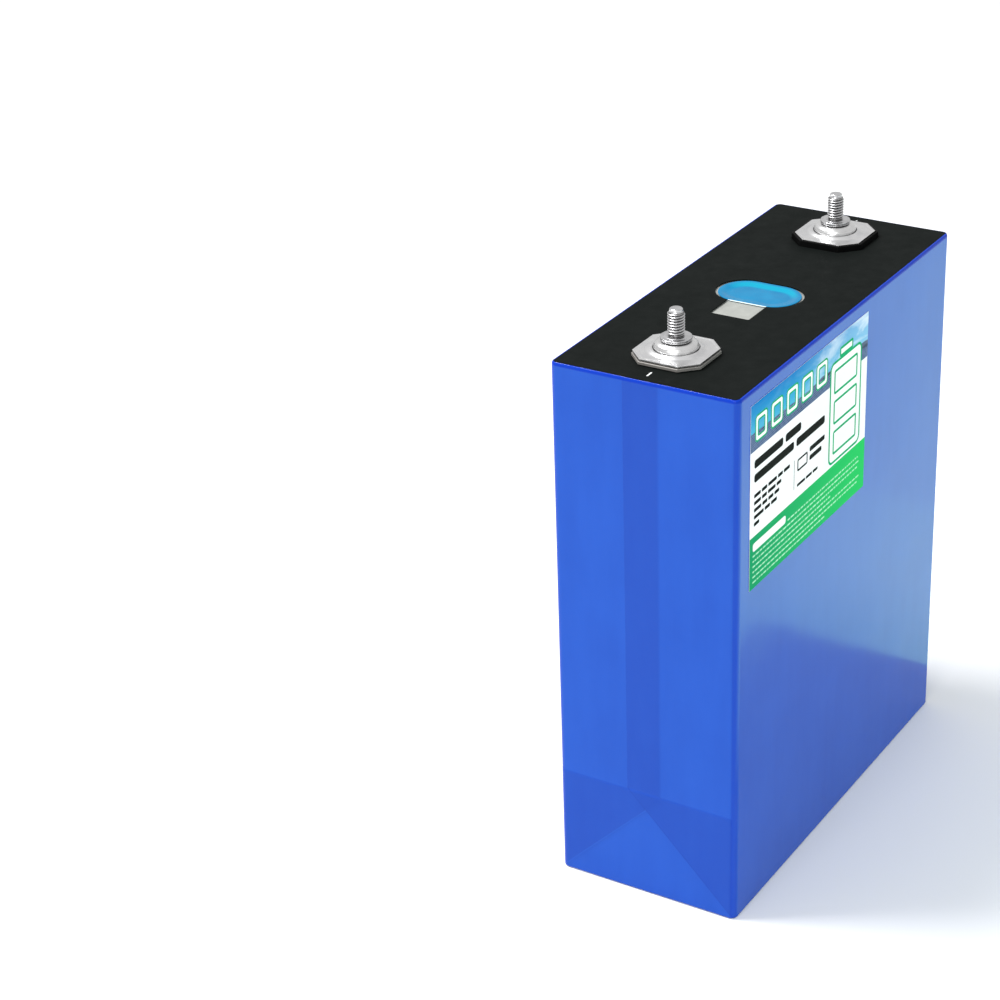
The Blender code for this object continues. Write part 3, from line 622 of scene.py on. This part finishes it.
def build_side_flap(name, end, front, material):
    """One side flap: round the corner from a wide face, over a narrow face, folded at 45 degrees below.

    end is -1 or 1 for the narrow face, and front is True for the flap from the label's side.
    The flap is laid out flat, in distance round the corner and height, and then laid on the cell.
    """
    across = -1 if front else 1
    arc = FILM_CORNER * pi / 2
    straight = HALF_THICKNESS - FILM_CORNER
    free_edge = FRONT_FLAP_EDGE if front else REAR_FLAP_EDGE
    width = arc + straight - across * free_edge
    columns = even_steps(0, arc, 0.4 * MM)[:-1] + even_steps(arc, width, 1.0 * MM)
    rows = even_steps(FILM_FOOT, BOTTOM_FLAP_TOP - 1 * MM, 1.4 * MM)
    rows += even_steps(BOTTOM_FLAP_TOP - 0.4 * MM, BOTTOM_FLAP_TOP + 1.6 * MM, 0.25 * MM)
    rows += even_steps(BOTTOM_FLAP_TOP + 3 * MM, film_high.z - RIM_HEIGHT, 12 * MM)
    rows += RIM_LEVELS
    bm = bmesh.new()
    grid = [[bm.verts.new((s, 0, z)) for s in columns] for z in rows]
    for low, high in zip(grid, grid[1:]):
        for i in range(len(columns) - 1):
            bm.faces.new((low[i], low[i + 1], high[i + 1], high[i]))
    fold_start = arc - FILM_CORNER
    bmesh.ops.bisect_plane(bm, geom=bm.verts[:] + bm.edges[:] + bm.faces[:], dist=1e-7,
                           plane_co=(fold_start, 0, 0), plane_no=(1, 0, -1), clear_outer=True)
    made = bmesh.ops.extrude_face_region(bm, geom=bm.faces[:], use_keep_orig=True)
    inner = [item for item in made["geom"] if isinstance(item, bmesh.types.BMVert)]
    bmesh.ops.translate(bm, verts=inner, vec=(0, -2 * FILM_LAYER, 0))
    stack = bm.verts.layers.float.new("layers")
    corner = Vector((FLAP_PLANE - FILM_CORNER, HALF_THICKNESS - FILM_CORNER))
    for v in bm.verts:
        s, depth, z = v.co
        angle = min(s / FILM_CORNER, pi / 2)
        y = corner.y + FILM_CORNER * cos(angle) - max(0.0, s - arc)
        lift = flap_lift(front, across * y, z)
        v[stack] = 1 + lift / FILM_LAYER * smooth_step(s, arc * 0.6, arc)
        lift = 0.004 * MM + lift * smooth_step(s, 0, arc) + depth - rim_lean(z)
        v.co = (end * (corner.x + (FILM_CORNER + lift) * sin(angle)),
                across * (y + lift * cos(angle)), z)
    bmesh.ops.recalc_face_normals(bm, faces=bm.faces[:])
    add_piece(name, bm, material, sharp=50)


def build_film():
    """The whole wrap: body and four side flaps, the front ones outermost."""
    material = film_material()
    build_film_body(material)
    for end, place in ((-1, "negative"), (1, "positive")):
        build_side_flap(f"film_flap_rear_{place}", end, False, material)
        build_side_flap(f"film_flap_front_{place}", end, True, material)


# ---- label
def on_label(outlines, level):
    """Printed shapes as one mesh, from outlines in label coordinates (X, Z), at an ink level.

    Each entry is one outline, or a list holding an outline and its holes.
    """
    foot = level - label_low.y
    bm = bmesh.new()
    for shape in outlines:
        add_plate(bm, shape if isinstance(shape[0], list) else [shape], foot, foot + INK)
    return bm


def bar(left, low, width, height, roundness=0.3):
    """Rounded bar in label coordinates."""
    return rounded_rectangle(width, height, min(width, height) * roundness, steps=3,
                             centre=(left + width / 2, low + height / 2))


def ring_outline(left, low, width, height, radius, line):
    """Rounded frame: an outline with a hole."""
    centre = (left + width / 2, low + height / 2)
    inner_radius = max(radius - line, 0.1 * MM)
    return [rounded_rectangle(width, height, radius, 6, centre),
            rounded_rectangle(width - 2 * line, height - 2 * line, inner_radius, 6, centre)]


def line_bar(start, foot, length, height, roundness=0.3):
    """Bar placed from the label's left edge, its foot a distance under the label's top. In mm."""
    return bar(label_low.x + start * MM, label_high.z - foot * MM, length * MM, height * MM, roundness)


def word_bars(draw, start, end, foot, height, word=(2.0, 6.0), gap=0.6):
    """A line of bars with the rhythm of words, in mm. Word lengths and gap are in bar heights."""
    bars = []
    while start < end - word[0] * height:
        length = min(height * draw.uniform(*word), end - start)
        bars.append(line_bar(start, foot, length, height))
        start += length + gap * height
    return bars


def hill_outline(base, tall, phase, steps=60):
    """Skyline between the label's sides, higher to the right, standing on a base height."""
    left, right = PRINT_SIDES
    points = [(left, base), (right, base)]
    for step in range(steps + 1):
        share = 1 - step / steps
        wave = (0.55 + 0.25 * sin(9 * share + phase) + 0.12 * sin(23 * share + 2 * phase)
                + 0.06 * sin(51 * share + 3 * phase))
        points.append((left + (right - left) * share, base + tall * (0.2 + 0.8 * share) * wave))
    return points


def print_band(bottom, top, corner_at_top):
    """Full-width printed band with two round corners, at its top or at its foot."""
    left, right = PRINT_SIDES
    centre = ((left + right) / 2, (bottom + top) / 2)
    outline = rounded_rectangle(right - left, top - bottom, LABEL_CORNER - PRINT_INSET, 6, centre)
    half = len(outline) // 2
    if corner_at_top:
        return outline[:half] + [(left, bottom), (right, bottom)]
    return outline[half:] + [(right, top), (left, top)]


def lay_print(name, shapes, material, level=0):
    """One printed layer of the label as a piece."""
    add_piece(name, on_label(shapes, level * INK), material, turn=LABEL_TURN)


def print_picture():
    """Picture band: sky, two ranges of hills, rows of panels and five outlined blocks."""
    left, right = PRINT_SIDES
    split = label_high.z - PICTURE_HEIGHT
    far = ink_material("print_far_hills", (0.085, 0.115, 0.18), (0.13, 0.17, 0.25))
    near = ink_material("print_near_hills", (0.040, 0.055, 0.095), (0.075, 0.095, 0.14))
    lay_print("label_sky", [print_band(split, label_high.z - PRINT_INSET, True)], sky_material())
    lay_print("label_hills_far", [hill_outline(split + 4.6 * MM, 4.6 * MM, 0.8)], far, 1)
    lay_print("label_hills_near", [hill_outline(split + 3.6 * MM, 3.8 * MM, 2.6)], near, 2)
    rows = [(left, split), (right, split), (right, split + 4.2 * MM), (left, split + 6.8 * MM)]
    lay_print("label_panel_rows", [rows], array_material(), 3)


def print_blocks(outline_ink, fill_ink):
    """Five hollow blocks across the picture, each pale with a green line round both its edges."""
    wide, tall, pitch, corner, inner_corner = 9.2 * MM, 10.0 * MM, 11.6 * MM, 1.7 * MM, 0.9 * MM
    stroke, line, foot = 2.5 * MM, 0.65 * MM, label_high.z - 14.6 * MM
    inside = stroke - line
    fills, lines = [], []
    for index in range(5):
        x = label_low.x + 3.2 * MM + index * pitch
        fills.append(ring_outline(x, foot, wide, tall, corner, stroke))
        lines.append(ring_outline(x, foot, wide, tall, corner, line))
        lines.append(ring_outline(x + inside, foot + inside, wide - 2 * inside, tall - 2 * inside,
                                  inner_corner, line))
    lay_print("label_blocks_fill", fills, fill_ink, 4)
    lay_print("label_blocks_outline", lines, outline_ink, 5)


def print_icon(outline_ink, fill_ink):
    """Pictogram of a cell at the right: body, cap and three framed level bars."""
    width, height, line = 26.0 * MM, 39.5 * MM, 0.95 * MM
    left, foot = label_high.x - width - 5.0 * MM, label_low.z + GREEN_HEIGHT + 0.8 * MM
    centre = (left + width / 2, foot + height / 2)
    cap_width, cap_height = width * 0.42, 3.8 * MM
    cap_left = centre[0] - cap_width / 2
    lay_print("label_icon_fill", [rounded_rectangle(width, height, 3 * MM, 6, centre),
                                  bar(cap_left, foot + height + 0.01 * MM, cap_width, cap_height)],
              fill_ink, 4)
    lines = [ring_outline(left, foot, width, height, 3 * MM, line),
             ring_outline(cap_left, foot + height, cap_width, cap_height, 0.9 * MM, line)]
    lay_print("label_icon_outline", lines, outline_ink, 5)
    margin, gap = 3.4 * MM, 2.4 * MM
    level_height = (height - 2 * margin - 2 * gap) / 3
    levels = [ring_outline(left + margin, foot + margin + k * (level_height + gap), width - 2 * margin,
                           level_height, 1.1 * MM, line) for k in range(3)]
    lay_print("label_icon_levels", levels, outline_ink, 5)


def print_lines(ink):
    """White panel: two heavy lines, a column of fine ones, and marks beside a thin rule."""
    draw = random.Random(7)
    margin = 3.0
    heavy = [line_bar(margin, 24.0, 21.5, 3.1), line_bar(margin + 23.4, 24.0, 12.0, 3.1),
             line_bar(margin, 29.2, 30.0, 3.1), line_bar(margin + 31.9, 29.2, 22.5, 3.1)]
    lay_print("label_title_bars", heavy, ink)
    fine = []
    for row, length in enumerate((27, 23, 19, 21, 4)):
        fine += word_bars(draw, margin, margin + length, 34.9 + 2.65 * row, 1.35, (2.5, 6.0))
    rule = 33.4
    fine.append(line_bar(rule, 45.0, 0.3, 11.2, 0.1))
    lay_print("label_column_bars", fine, ink)
    left, foot = label_low.x, label_high.z - 39.2 * MM
    marks = [ring_outline(left + (rule + 2.6) * MM, foot, 8.0 * MM, 4.7 * MM, 0.8 * MM, 0.75 * MM)]
    marks += [line_bar(rule + 12.2, 35.6, 12.0, 1.9), line_bar(rule + 12.2, 38.9, 9.6, 1.9)]
    marks += word_bars(draw, rule + 2.6, rule + 20.0, 45.0, 1.1)
    lay_print("label_side_marks", marks, ink)


def print_green(ink, bright):
    """Green band with a heading bar and rows of fine ones."""
    draw = random.Random(11)
    band = print_band(label_low.z + PRINT_INSET, label_low.z + GREEN_HEIGHT, False)
    lay_print("label_green_band", [band], green_material())
    margin, right = 2.4, (label_high.x - label_low.x) / MM - 3.0
    heading, foot, pitch = 25.0, 55.0, 2.0
    fine = []
    for row in range(7):
        start = margin + heading + 1.6 if row == 0 else margin
        end = right - (draw.uniform(12, 40) if row in (3, 6) else draw.uniform(0, 4))
        fine += word_bars(draw, start, end, foot + pitch * row, 0.6, (1.2, 4.8), 0.9)
    lay_print("label_fine_bars", fine, ink, 1)
    lay_print("label_heading_bar", [line_bar(margin, foot, heading, 3.1)], bright, 1)


def build_label():
    """Label with a picture band, a white panel and a green band. All wording is plain bars."""
    paper = ink_material("label_white", (0.84, 0.85, 0.85), (0.87, 0.88, 0.88), 0.8 * MM)
    black = ink_material("print_black", (0.005, 0.005, 0.006), (0.009, 0.009, 0.010))
    green = ink_material("print_outline_green", (0.010, 0.330, 0.130), (0.016, 0.400, 0.160))
    pale = ink_material("print_pale", (0.30, 0.68, 0.42), (0.42, 0.78, 0.54))
    low, high = label_low, label_high
    outline = rounded_rectangle(high.x - low.x, high.z - low.z, LABEL_CORNER,
                                centre=((low.x + high.x) / 2, (low.z + high.z) / 2))
    add_piece("side_label_sheet", plate([outline], -high.y, -low.y, 0.02 * MM), paper,
              ["side_label"], LABEL_TURN)
    print_picture()
    print_blocks(green, paper)
    print_icon(green, paper)
    print_lines(black)
    print_green(pale, paper)


# ---- top face
def window_and_vent_outline():
    """The one opening in the sheet that shows the vent and the window beside it."""
    across, along = VENT_OPENING
    radius, half = along / 2, WINDOW_WIDTH / 2
    vent = [(x, y) for x, y in racetrack_across(across, along) if x > 0 or abs(y) >= half]
    past_straight = half - (across / 2 - radius)
    meet = -sqrt(radius ** 2 - past_straight ** 2)
    cut = WINDOW_OUTER_X + WINDOW_CORNER
    window = [(meet, half), (cut, half), (WINDOW_OUTER_X, half - WINDOW_CORNER)]
    window += [(x, -y) for x, y in reversed(window)]
    middle = len(vent) // 2
    return vent[:middle] + window + vent[middle:]


def foot_of(node):
    """Centre X, half width and corner cut of a cut-corner CAD plate, read from its box and vertices."""
    low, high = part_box(node)
    centre = (low.x + high.x) / 2
    reach = max(v.co.x - centre + v.co.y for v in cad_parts[node].data.vertices)
    return centre, (high.x - low.x) / 2, (high.x - low.x) - reach


def terminal_opening(node):
    """Opening in the sheet round a terminal's foot."""
    centre, half, leg = foot_of(node)
    outline = cut_corner_square(half, leg, 0.5 * MM, -0.3 * MM, edge_steps=2, arc_steps=3)
    return [(x + centre, y) for x, y in outline]


def build_top_sheet():
    """Black sheet with round cut edges."""
    side_inset = FILM_WALL + RIM_LEAN + 0.05 * MM
    end_inset = side_inset + 5 * FILM_LAYER - FILM_WALL + END_WALL
    outside = rounded_rectangle(2 * (HALF_LENGTH - end_inset), 2 * (HALF_THICKNESS - side_inset),
                                FILM_CORNER - side_inset)
    holes = [window_and_vent_outline(), terminal_opening("terminal_pad_negative"),
             terminal_opening("terminal_frame_positive")]
    add_piece("top_sheet", plate([outside] + holes, sheet_low.z, sheet_high.z, 0.07 * MM),
              sheet_material(), ["top_insulation_sheet"])


def build_marks():
    """Printed bar and cross beyond the negative and the positive terminal."""
    ink = plastic_material("mark_white", (0.72, 0.74, 0.74), (0.80, 0.81, 0.81), 0.5)
    length, line, x = 3.3 * MM, 0.6 * MM, 80.5 * MM
    half, arm = length / 2, line / 2
    minus = rounded_rectangle(length, line, 0.2 * MM, 3, (-x, 0.5 * MM))
    plus = [(x + px, py) for px, py in four_times([(half, -arm), (half, arm), (arm, arm)])]
    for name, outline in (("mark_negative", minus), ("mark_positive", plus)):
        add_piece(name, plate([outline], sheet_high.z + 0.002 * MM, sheet_high.z + 0.03 * MM), ink)


def build_vent_film():
    """Blue film, its middle sunk into the vent's recess."""
    across, along = vent_high.y - vent_low.y, vent_high.x - vent_low.x
    thickness, dish, swell, round_edge = 0.2 * MM, 0.7 * MM, 0.06 * MM, 0.12 * MM
    insets = [0.0, 0.05 * MM, round_edge] + [0.5 * k * MM for k in range(1, 17)]

    def ring(inset, drop):
        """The film's outline at an inset, a drop below its top surface."""
        z = vent_high.z - dish * smooth_step(inset, 0.8 * MM, 4.4 * MM)
        z += swell * smooth_step(inset, 4.4 * MM, 9 * MM)
        return at_height(racetrack_across(across - 2 * inset, along - 2 * inset, 32), z - drop)

    rings = [ring(inset, thickness) for inset in reversed(insets)]
    rings += [ring(inset, 0.06 * MM * (1 - min(1.0, inset / round_edge))) for inset in insets]
    add_piece("vent_film", loft(rings), vent_film_material(), ["vent_cover_film"])


# ---- terminals
def levels_of(node):
    """Lowest and highest Z of a CAD node."""
    low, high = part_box(node)
    return low.z, high.z


def add_cut_corner_piece(name, node, material, corner, outside, inside):
    """Piece from (inset, z) steps down its cut-corner outside and (radius, z) steps down its hole."""
    x, half, leg = foot_of(node)
    facing = cut_corner_square(half, leg, corner)
    rings = [at_height(cut_corner_square(half, leg, corner, inset), z) for inset, z in outside]
    rings += [at_height(circle_facing(facing, radius), z) for radius, z in inside]
    add_piece(name, loft(rings, closed=True), material, [node], at_x=x)


def build_terminal_plate(side, material):
    """Cut-corner plate: bevelled rim, fine groove inside it, raised collar and rivet hole."""
    node = f"terminal_plate_{side}"
    bottom, collar_top = levels_of(node)
    top, bevel = collar_top - COLLAR_HEIGHT, 0.14 * MM
    seat = top - RIVET_SEAT_DEPTH
    outside = [(bevel, bottom), (0, bottom + bevel), (0, top - bevel), (bevel * 0.3, top - bevel * 0.3),
               (bevel, top), (GROOVE_INSET, top), (GROOVE_INSET + GROOVE_WIDTH / 2, top - GROOVE_DEPTH),
               (GROOVE_INSET + GROOVE_WIDTH, top)]
    inside = [(radius * MM, top + height * MM) for radius, height in COLLAR]
    inside += [(RIVET_SEAT_RADIUS, seat), (SHANK_HOLE, seat), (SHANK_HOLE, bottom)]
    add_cut_corner_piece(f"terminal_{side}_plate", node, material, 0.35 * MM,
                         outside, inside)


def build_flat_layer(layer, material, bevel):
    """Flat cut-corner layer under the negative plate, with a hole for the rivet."""
    node = f"terminal_{layer}_negative"
    x, half, leg = foot_of(node)
    bottom, top = levels_of(node)
    outline = cut_corner_square(half, leg, 0.4 * MM)
    inner = cut_corner_square(half, leg, 0.3 * MM, bevel)
    hole = circle_facing(outline, SHANK_HOLE)
    path = ((inner, bottom), (outline, bottom + bevel), (outline, top - bevel), (inner, top),
            (hole, top), (hole, bottom))
    rings = [at_height(ring, z) for ring, z in path]
    add_piece(f"terminal_negative_{layer}", loft(rings, closed=True), material, [node], at_x=x)


def build_positive_frame(material):
    """Moulded black frame that holds the positive plate."""
    node = "terminal_frame_positive"
    foot, top = levels_of(node)
    pocket = foot_of(node)[1] - foot_of("terminal_plate_positive")[1] - 0.3 * MM
    bevel, soft, floor_z = 0.35 * MM, 0.1 * MM, foot + 0.6 * MM
    outside = [(0, foot), (0, top - bevel), (bevel * 0.3, top - bevel * 0.3), (bevel, top),
               (pocket - soft, top), (pocket, top - soft), (pocket, floor_z)]
    add_cut_corner_piece("terminal_positive_frame", node, material, 0.5 * MM,
                         outside, [(SHANK_HOLE, floor_z), (SHANK_HOLE, foot)])


def terminal_x(side):
    """X of a terminal's axis."""
    return foot_of(f"terminal_plate_{side}")[0]


def build_rivet(side, material):
    """Rivet: flange inside the cell, shank, and a soft domed head on the plate."""
    node = f"terminal_rivet_{side}"
    bottom, top = levels_of(node)
    flange, thickness, head = 8.4 * MM, 1.5 * MM, 7.8 * MM
    head_foot = levels_of(f"terminal_plate_{side}")[1] - COLLAR_HEIGHT
    path = [(0.3 * MM, bottom), (flange, bottom), (flange, bottom + thickness),
            (SHANK_RADIUS, bottom + thickness), (SHANK_RADIUS, head_foot), (head, head_foot),
            (head, head_foot + 1.5 * MM), (7.3 * MM, head_foot + 2.6 * MM),
            (6.3 * MM, top - 0.15 * MM), (5.3 * MM, top), (0.3 * MM, top)]
    add_piece(f"terminal_{side}_rivet", lathe(fillet(path, 0.3 * MM)), material, [node],
              at_x=terminal_x(side), sharp=40)


def thread_radius(bearing, height, run):
    """Radius of the single-start 60 degree thread, flat at crest and root, faded out at both ends."""
    phase = (height / THREAD_PITCH - bearing / (2 * pi)) % 1.0
    ridge = 1.0 - abs(2.0 * phase - 1.0)
    ridge = min(1.0, max(0.0, (ridge - THREAD_FLAT) / (1 - 2 * THREAD_FLAT)))
    fade = min(1.0, height / (0.6 * THREAD_PITCH), (run - height) / (0.5 * THREAD_PITCH))
    return THREAD_ROOT + (THREAD_CREST - THREAD_ROOT) * ridge * max(fade, 0.0)


def build_stud(side, material):
    """Stud: round flange, short neck, helical thread, and a chamfered plain tip."""
    node = f"terminal_stud_{side}"
    x, (bottom, top) = terminal_x(side), levels_of(node)
    count, rows_per_turn = 72, 16
    flange_top = bottom + STUD_FLANGE_THICKNESS
    weld = flange_top + 0.22 * MM
    foot = fillet([(4.4 * MM, bottom), (STUD_FLANGE_RADIUS, bottom), (STUD_FLANGE_RADIUS, flange_top),
                   (4.1 * MM, flange_top), (3.7 * MM, weld), (3.1 * MM, weld),
                   (2.6 * MM, flange_top + 0.05 * MM), (THREAD_ROOT, flange_top + 0.4 * MM)], 0.22 * MM)
    thread_foot, thread_top = flange_top + 0.45 * MM, top - 1.25 * MM
    tip = fillet([(2.3 * MM, top - 1.05 * MM), (2.3 * MM, top - 0.3 * MM), (2.0 * MM, top),
                  (0.3 * MM, top - 0.02 * MM)], 0.15 * MM)
    run = thread_top - thread_foot
    rows = round(run / THREAD_PITCH * rows_per_turn)
    rings = [at_height(circle(radius, count), z) for radius, z in [(0.5 * MM, bottom)] + foot]
    bearings = [2 * pi * i / count for i in range(count)]
    for row in range(rows + 1):
        height = run * row / rows
        radii = [thread_radius(b, height, run) for b in bearings]
        rings.append([(r * cos(b), r * sin(b), thread_foot + height)
                      for r, b in zip(radii, bearings)])
    rings += [at_height(circle(radius, count), z) for radius, z in tip]
    add_piece(f"terminal_{side}_stud", loft(rings), material, [node],
              at_x=x, sharp=60)


def build_terminals():
    """Both terminals, from the foot up."""
    base = metal_material("base_metal", (0.30, 0.285, 0.265), (0.22, 0.21, 0.20), 0.5, metallic=0.45,
                          wear=0.1 * MM)
    black = plastic_material("terminal_black", (0.0014, 0.0015, 0.0015), (0.0030, 0.0032, 0.0032), 0.5,
                             specular=0.05)
    bright = (0.84, 0.84, 0.84)
    for side, rivet_slot in (("negative", "rivet_nickel"), ("positive", "terminal_aluminium")):
        x = terminal_x(side)
        plate_metal = turned_material(f"plate_aluminium_{side}", bright, (0.68, 0.68, 0.69), 0.30, x)
        rivet_metal = turned_material(f"rivet_metal_{side}", bright, (0.70, 0.70, 0.70), 0.28, x)
        thread_top = levels_of(f"terminal_stud_{side}")[1] - 1.2 * MM
        build_terminal_plate(side, plate_metal)
        build_rivet(side, rivet_metal)
        build_stud(side, stud_material(f"stud_steel_{side}", x, thread_top))
    build_flat_layer("base", base, 0.12 * MM)
    build_flat_layer("pad", black, 0.1 * MM)
    build_positive_frame(black)


# ---- pieces kept from the CAD
def paint_inside():
    """Materials for the CAD nodes that stay, each given to the names that start with its words."""
    copper, fine = ((0.80, 0.42, 0.25), (0.55, 0.26, 0.14)), 0.1 * MM
    bright = (0.82, 0.82, 0.81), (0.60, 0.60, 0.60)
    finishes = (
        (metal_material("case_aluminium", (0.80, 0.80, 0.78), (0.70, 0.70, 0.68), 0.42),
         ("case_can", "vent_disc", "fill_port_cap", "collector_positive")),
        (metal_material("lid_aluminium", (0.47, 0.48, 0.45), (0.39, 0.40, 0.375), 0.5, 0.8 * MM, 0.6),
         ("lid_plate",)),
        (layered_material("copper_foils", *copper, 0.32, fine, "z", 1.0), ("tab_bundle_negative",)),
        (layered_material("aluminium_foils", *bright, 0.36, fine, "z", 1.0), ("tab_bundle_positive",)),
        (metal_material("collector_copper", (0.78, 0.41, 0.25), (0.62, 0.30, 0.17), 0.33),
         ("collector_negative",)),
        (plastic_material("seal_rubber", (0.018, 0.018, 0.02), (0.035, 0.035, 0.037), 0.75),
         ("fill_port_plug", "seal_ring")),
        (plastic_material("inner_plastic", (0.66, 0.67, 0.65), (0.76, 0.77, 0.75), 0.5),
         ("lower_insulator", "vent_guard_grille", "bottom_support_board")),
        (plastic_material("inner_film", (0.66, 0.71, 0.74), (0.80, 0.84, 0.86), 0.25),
         ("inner_insulation_bag",)),
        (layered_material("separator_roll", (0.84, 0.84, 0.82), (0.66, 0.66, 0.64), 0.55, 0.25 * MM, "y"),
         ("electrode_roll",)),
        (plastic_material("binding_tape", (0.02, 0.22, 0.11), (0.035, 0.30, 0.15), 0.35),
         ("binding_tape",)))
    for material, words in finishes:
        for name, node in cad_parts.items():
            if name.startswith(words):
                node.data.materials.clear()
                node.data.materials.append(material)


# ---- floor, light and camera
def build_floor():
    """Plain pale floor, well past every view."""
    bm = bmesh.new()
    bmesh.ops.create_grid(bm, x_segments=8, y_segments=8, size=6.0)
    floor = mesh_object("floor", bm, floor_material())
    floor.location.z = -0.1 * MM


def soft_light(name, bearing, elevation, distance, size, watts, colour=(1.0, 1.0, 1.0)):
    """Square area light aimed at the middle of the cell from a bearing (degrees from +X)."""
    a, e = radians(bearing), radians(elevation)
    away = Vector((cos(a) * cos(e), sin(a) * cos(e), sin(e)))
    return area_light(name, Vector((0, 0, 0.1)) + away * distance, away, size, size, watts, colour)


def area_light(name, place, away, length, width, watts, colour):
    """Rectangular area light, unseen by the camera, shining against the direction away."""
    data = bpy.data.lights.new(name, "AREA")
    data.shape = "RECTANGLE"
    data.size, data.size_y = length, width
    data.energy = watts
    data.color = colour
    light = link_object(name, data)
    light.location = place
    light.rotation_mode = "QUATERNION"
    light.rotation_quaternion = away.to_track_quat("Z", "Y")
    light.visible_camera = False
    return light


def low_reflector(name, low, high, radiance):
    """Greenish card lying just over the floor and facing up, seen only in glossy surfaces."""
    length, width = high[0] - low[0], high[1] - low[1]
    centre = Vector(((low[0] + high[0]) / 2, (low[1] + high[1]) / 2, 0.5 * MM))
    watts = radiance * pi * length * width
    card = area_light(name, centre, Vector((0, 0, -1)), length, width, watts, (0.42, 0.98, 0.45))
    card.visible_diffuse = False


def light_studio():
    """Even pale surroundings, a soft key from the left and behind, and fills for both near faces."""
    scene = bpy.context.scene
    scene.view_settings.view_transform = "Standard"
    world = bpy.data.worlds.new("studio")
    world.use_nodes = True
    background = world.node_tree.nodes["Background"]
    background.inputs["Color"].default_value = (1.0, 1.0, 1.0, 1.0)
    background.inputs["Strength"].default_value = 0.70
    scene.world = world
    soft_light("key", bearing=112, elevation=61, distance=1.6, size=0.55, watts=30)
    soft_light("end_fill", bearing=190, elevation=30, distance=1.5, size=0.9, watts=8.0)
    side = soft_light("side_fill", bearing=275, elevation=25, distance=1.6, size=0.9, watts=5.4,
                      colour=(0.75, 1.10, 1.10))
    side.visible_glossy = False
    # These three give the wide face its pale upper part, which ends where the near card ends.
    low_reflector("reflector_far", (0.25, -0.42), (0.60, -0.02), 1.0)
    low_reflector("reflector_middle", (0.113, -0.42), (0.25, -0.02), 1.27)
    low_reflector("reflector_near", (-0.1, -0.42), (0.113, -0.128), 1.95)


def add_camera():
    """Camera at the photograph's viewing angle: looking down at the near end and the label face."""
    place = (-0.7617, -0.3773, 0.5491)
    heading, pitch, roll = radians(32.78), radians(-26.58), radians(-2.19)
    data = bpy.data.cameras.new("camera")
    data.sensor_width, data.lens = 36.0, 91.98
    camera = link_object("camera", data)
    ahead = Vector((cos(heading) * cos(pitch), sin(heading) * cos(pitch),
                    sin(pitch)))
    level = ahead.cross(Vector((0, 0, 1))).normalized()
    above = level.cross(ahead)
    right = level * cos(roll) + above * sin(roll)
    up = above * cos(roll) - level * sin(roll)
    turn = Matrix((right, up, -ahead)).transposed()
    camera.matrix_world = Matrix.Translation(place) @ turn.to_4x4()
    bpy.context.scene.camera = camera


add_camera()
build_film()
build_label()
build_top_sheet()
build_marks()
build_vent_film()
build_terminals()
paint_inside()
build_floor()
light_studio()

bpy.context.view_layer.update()
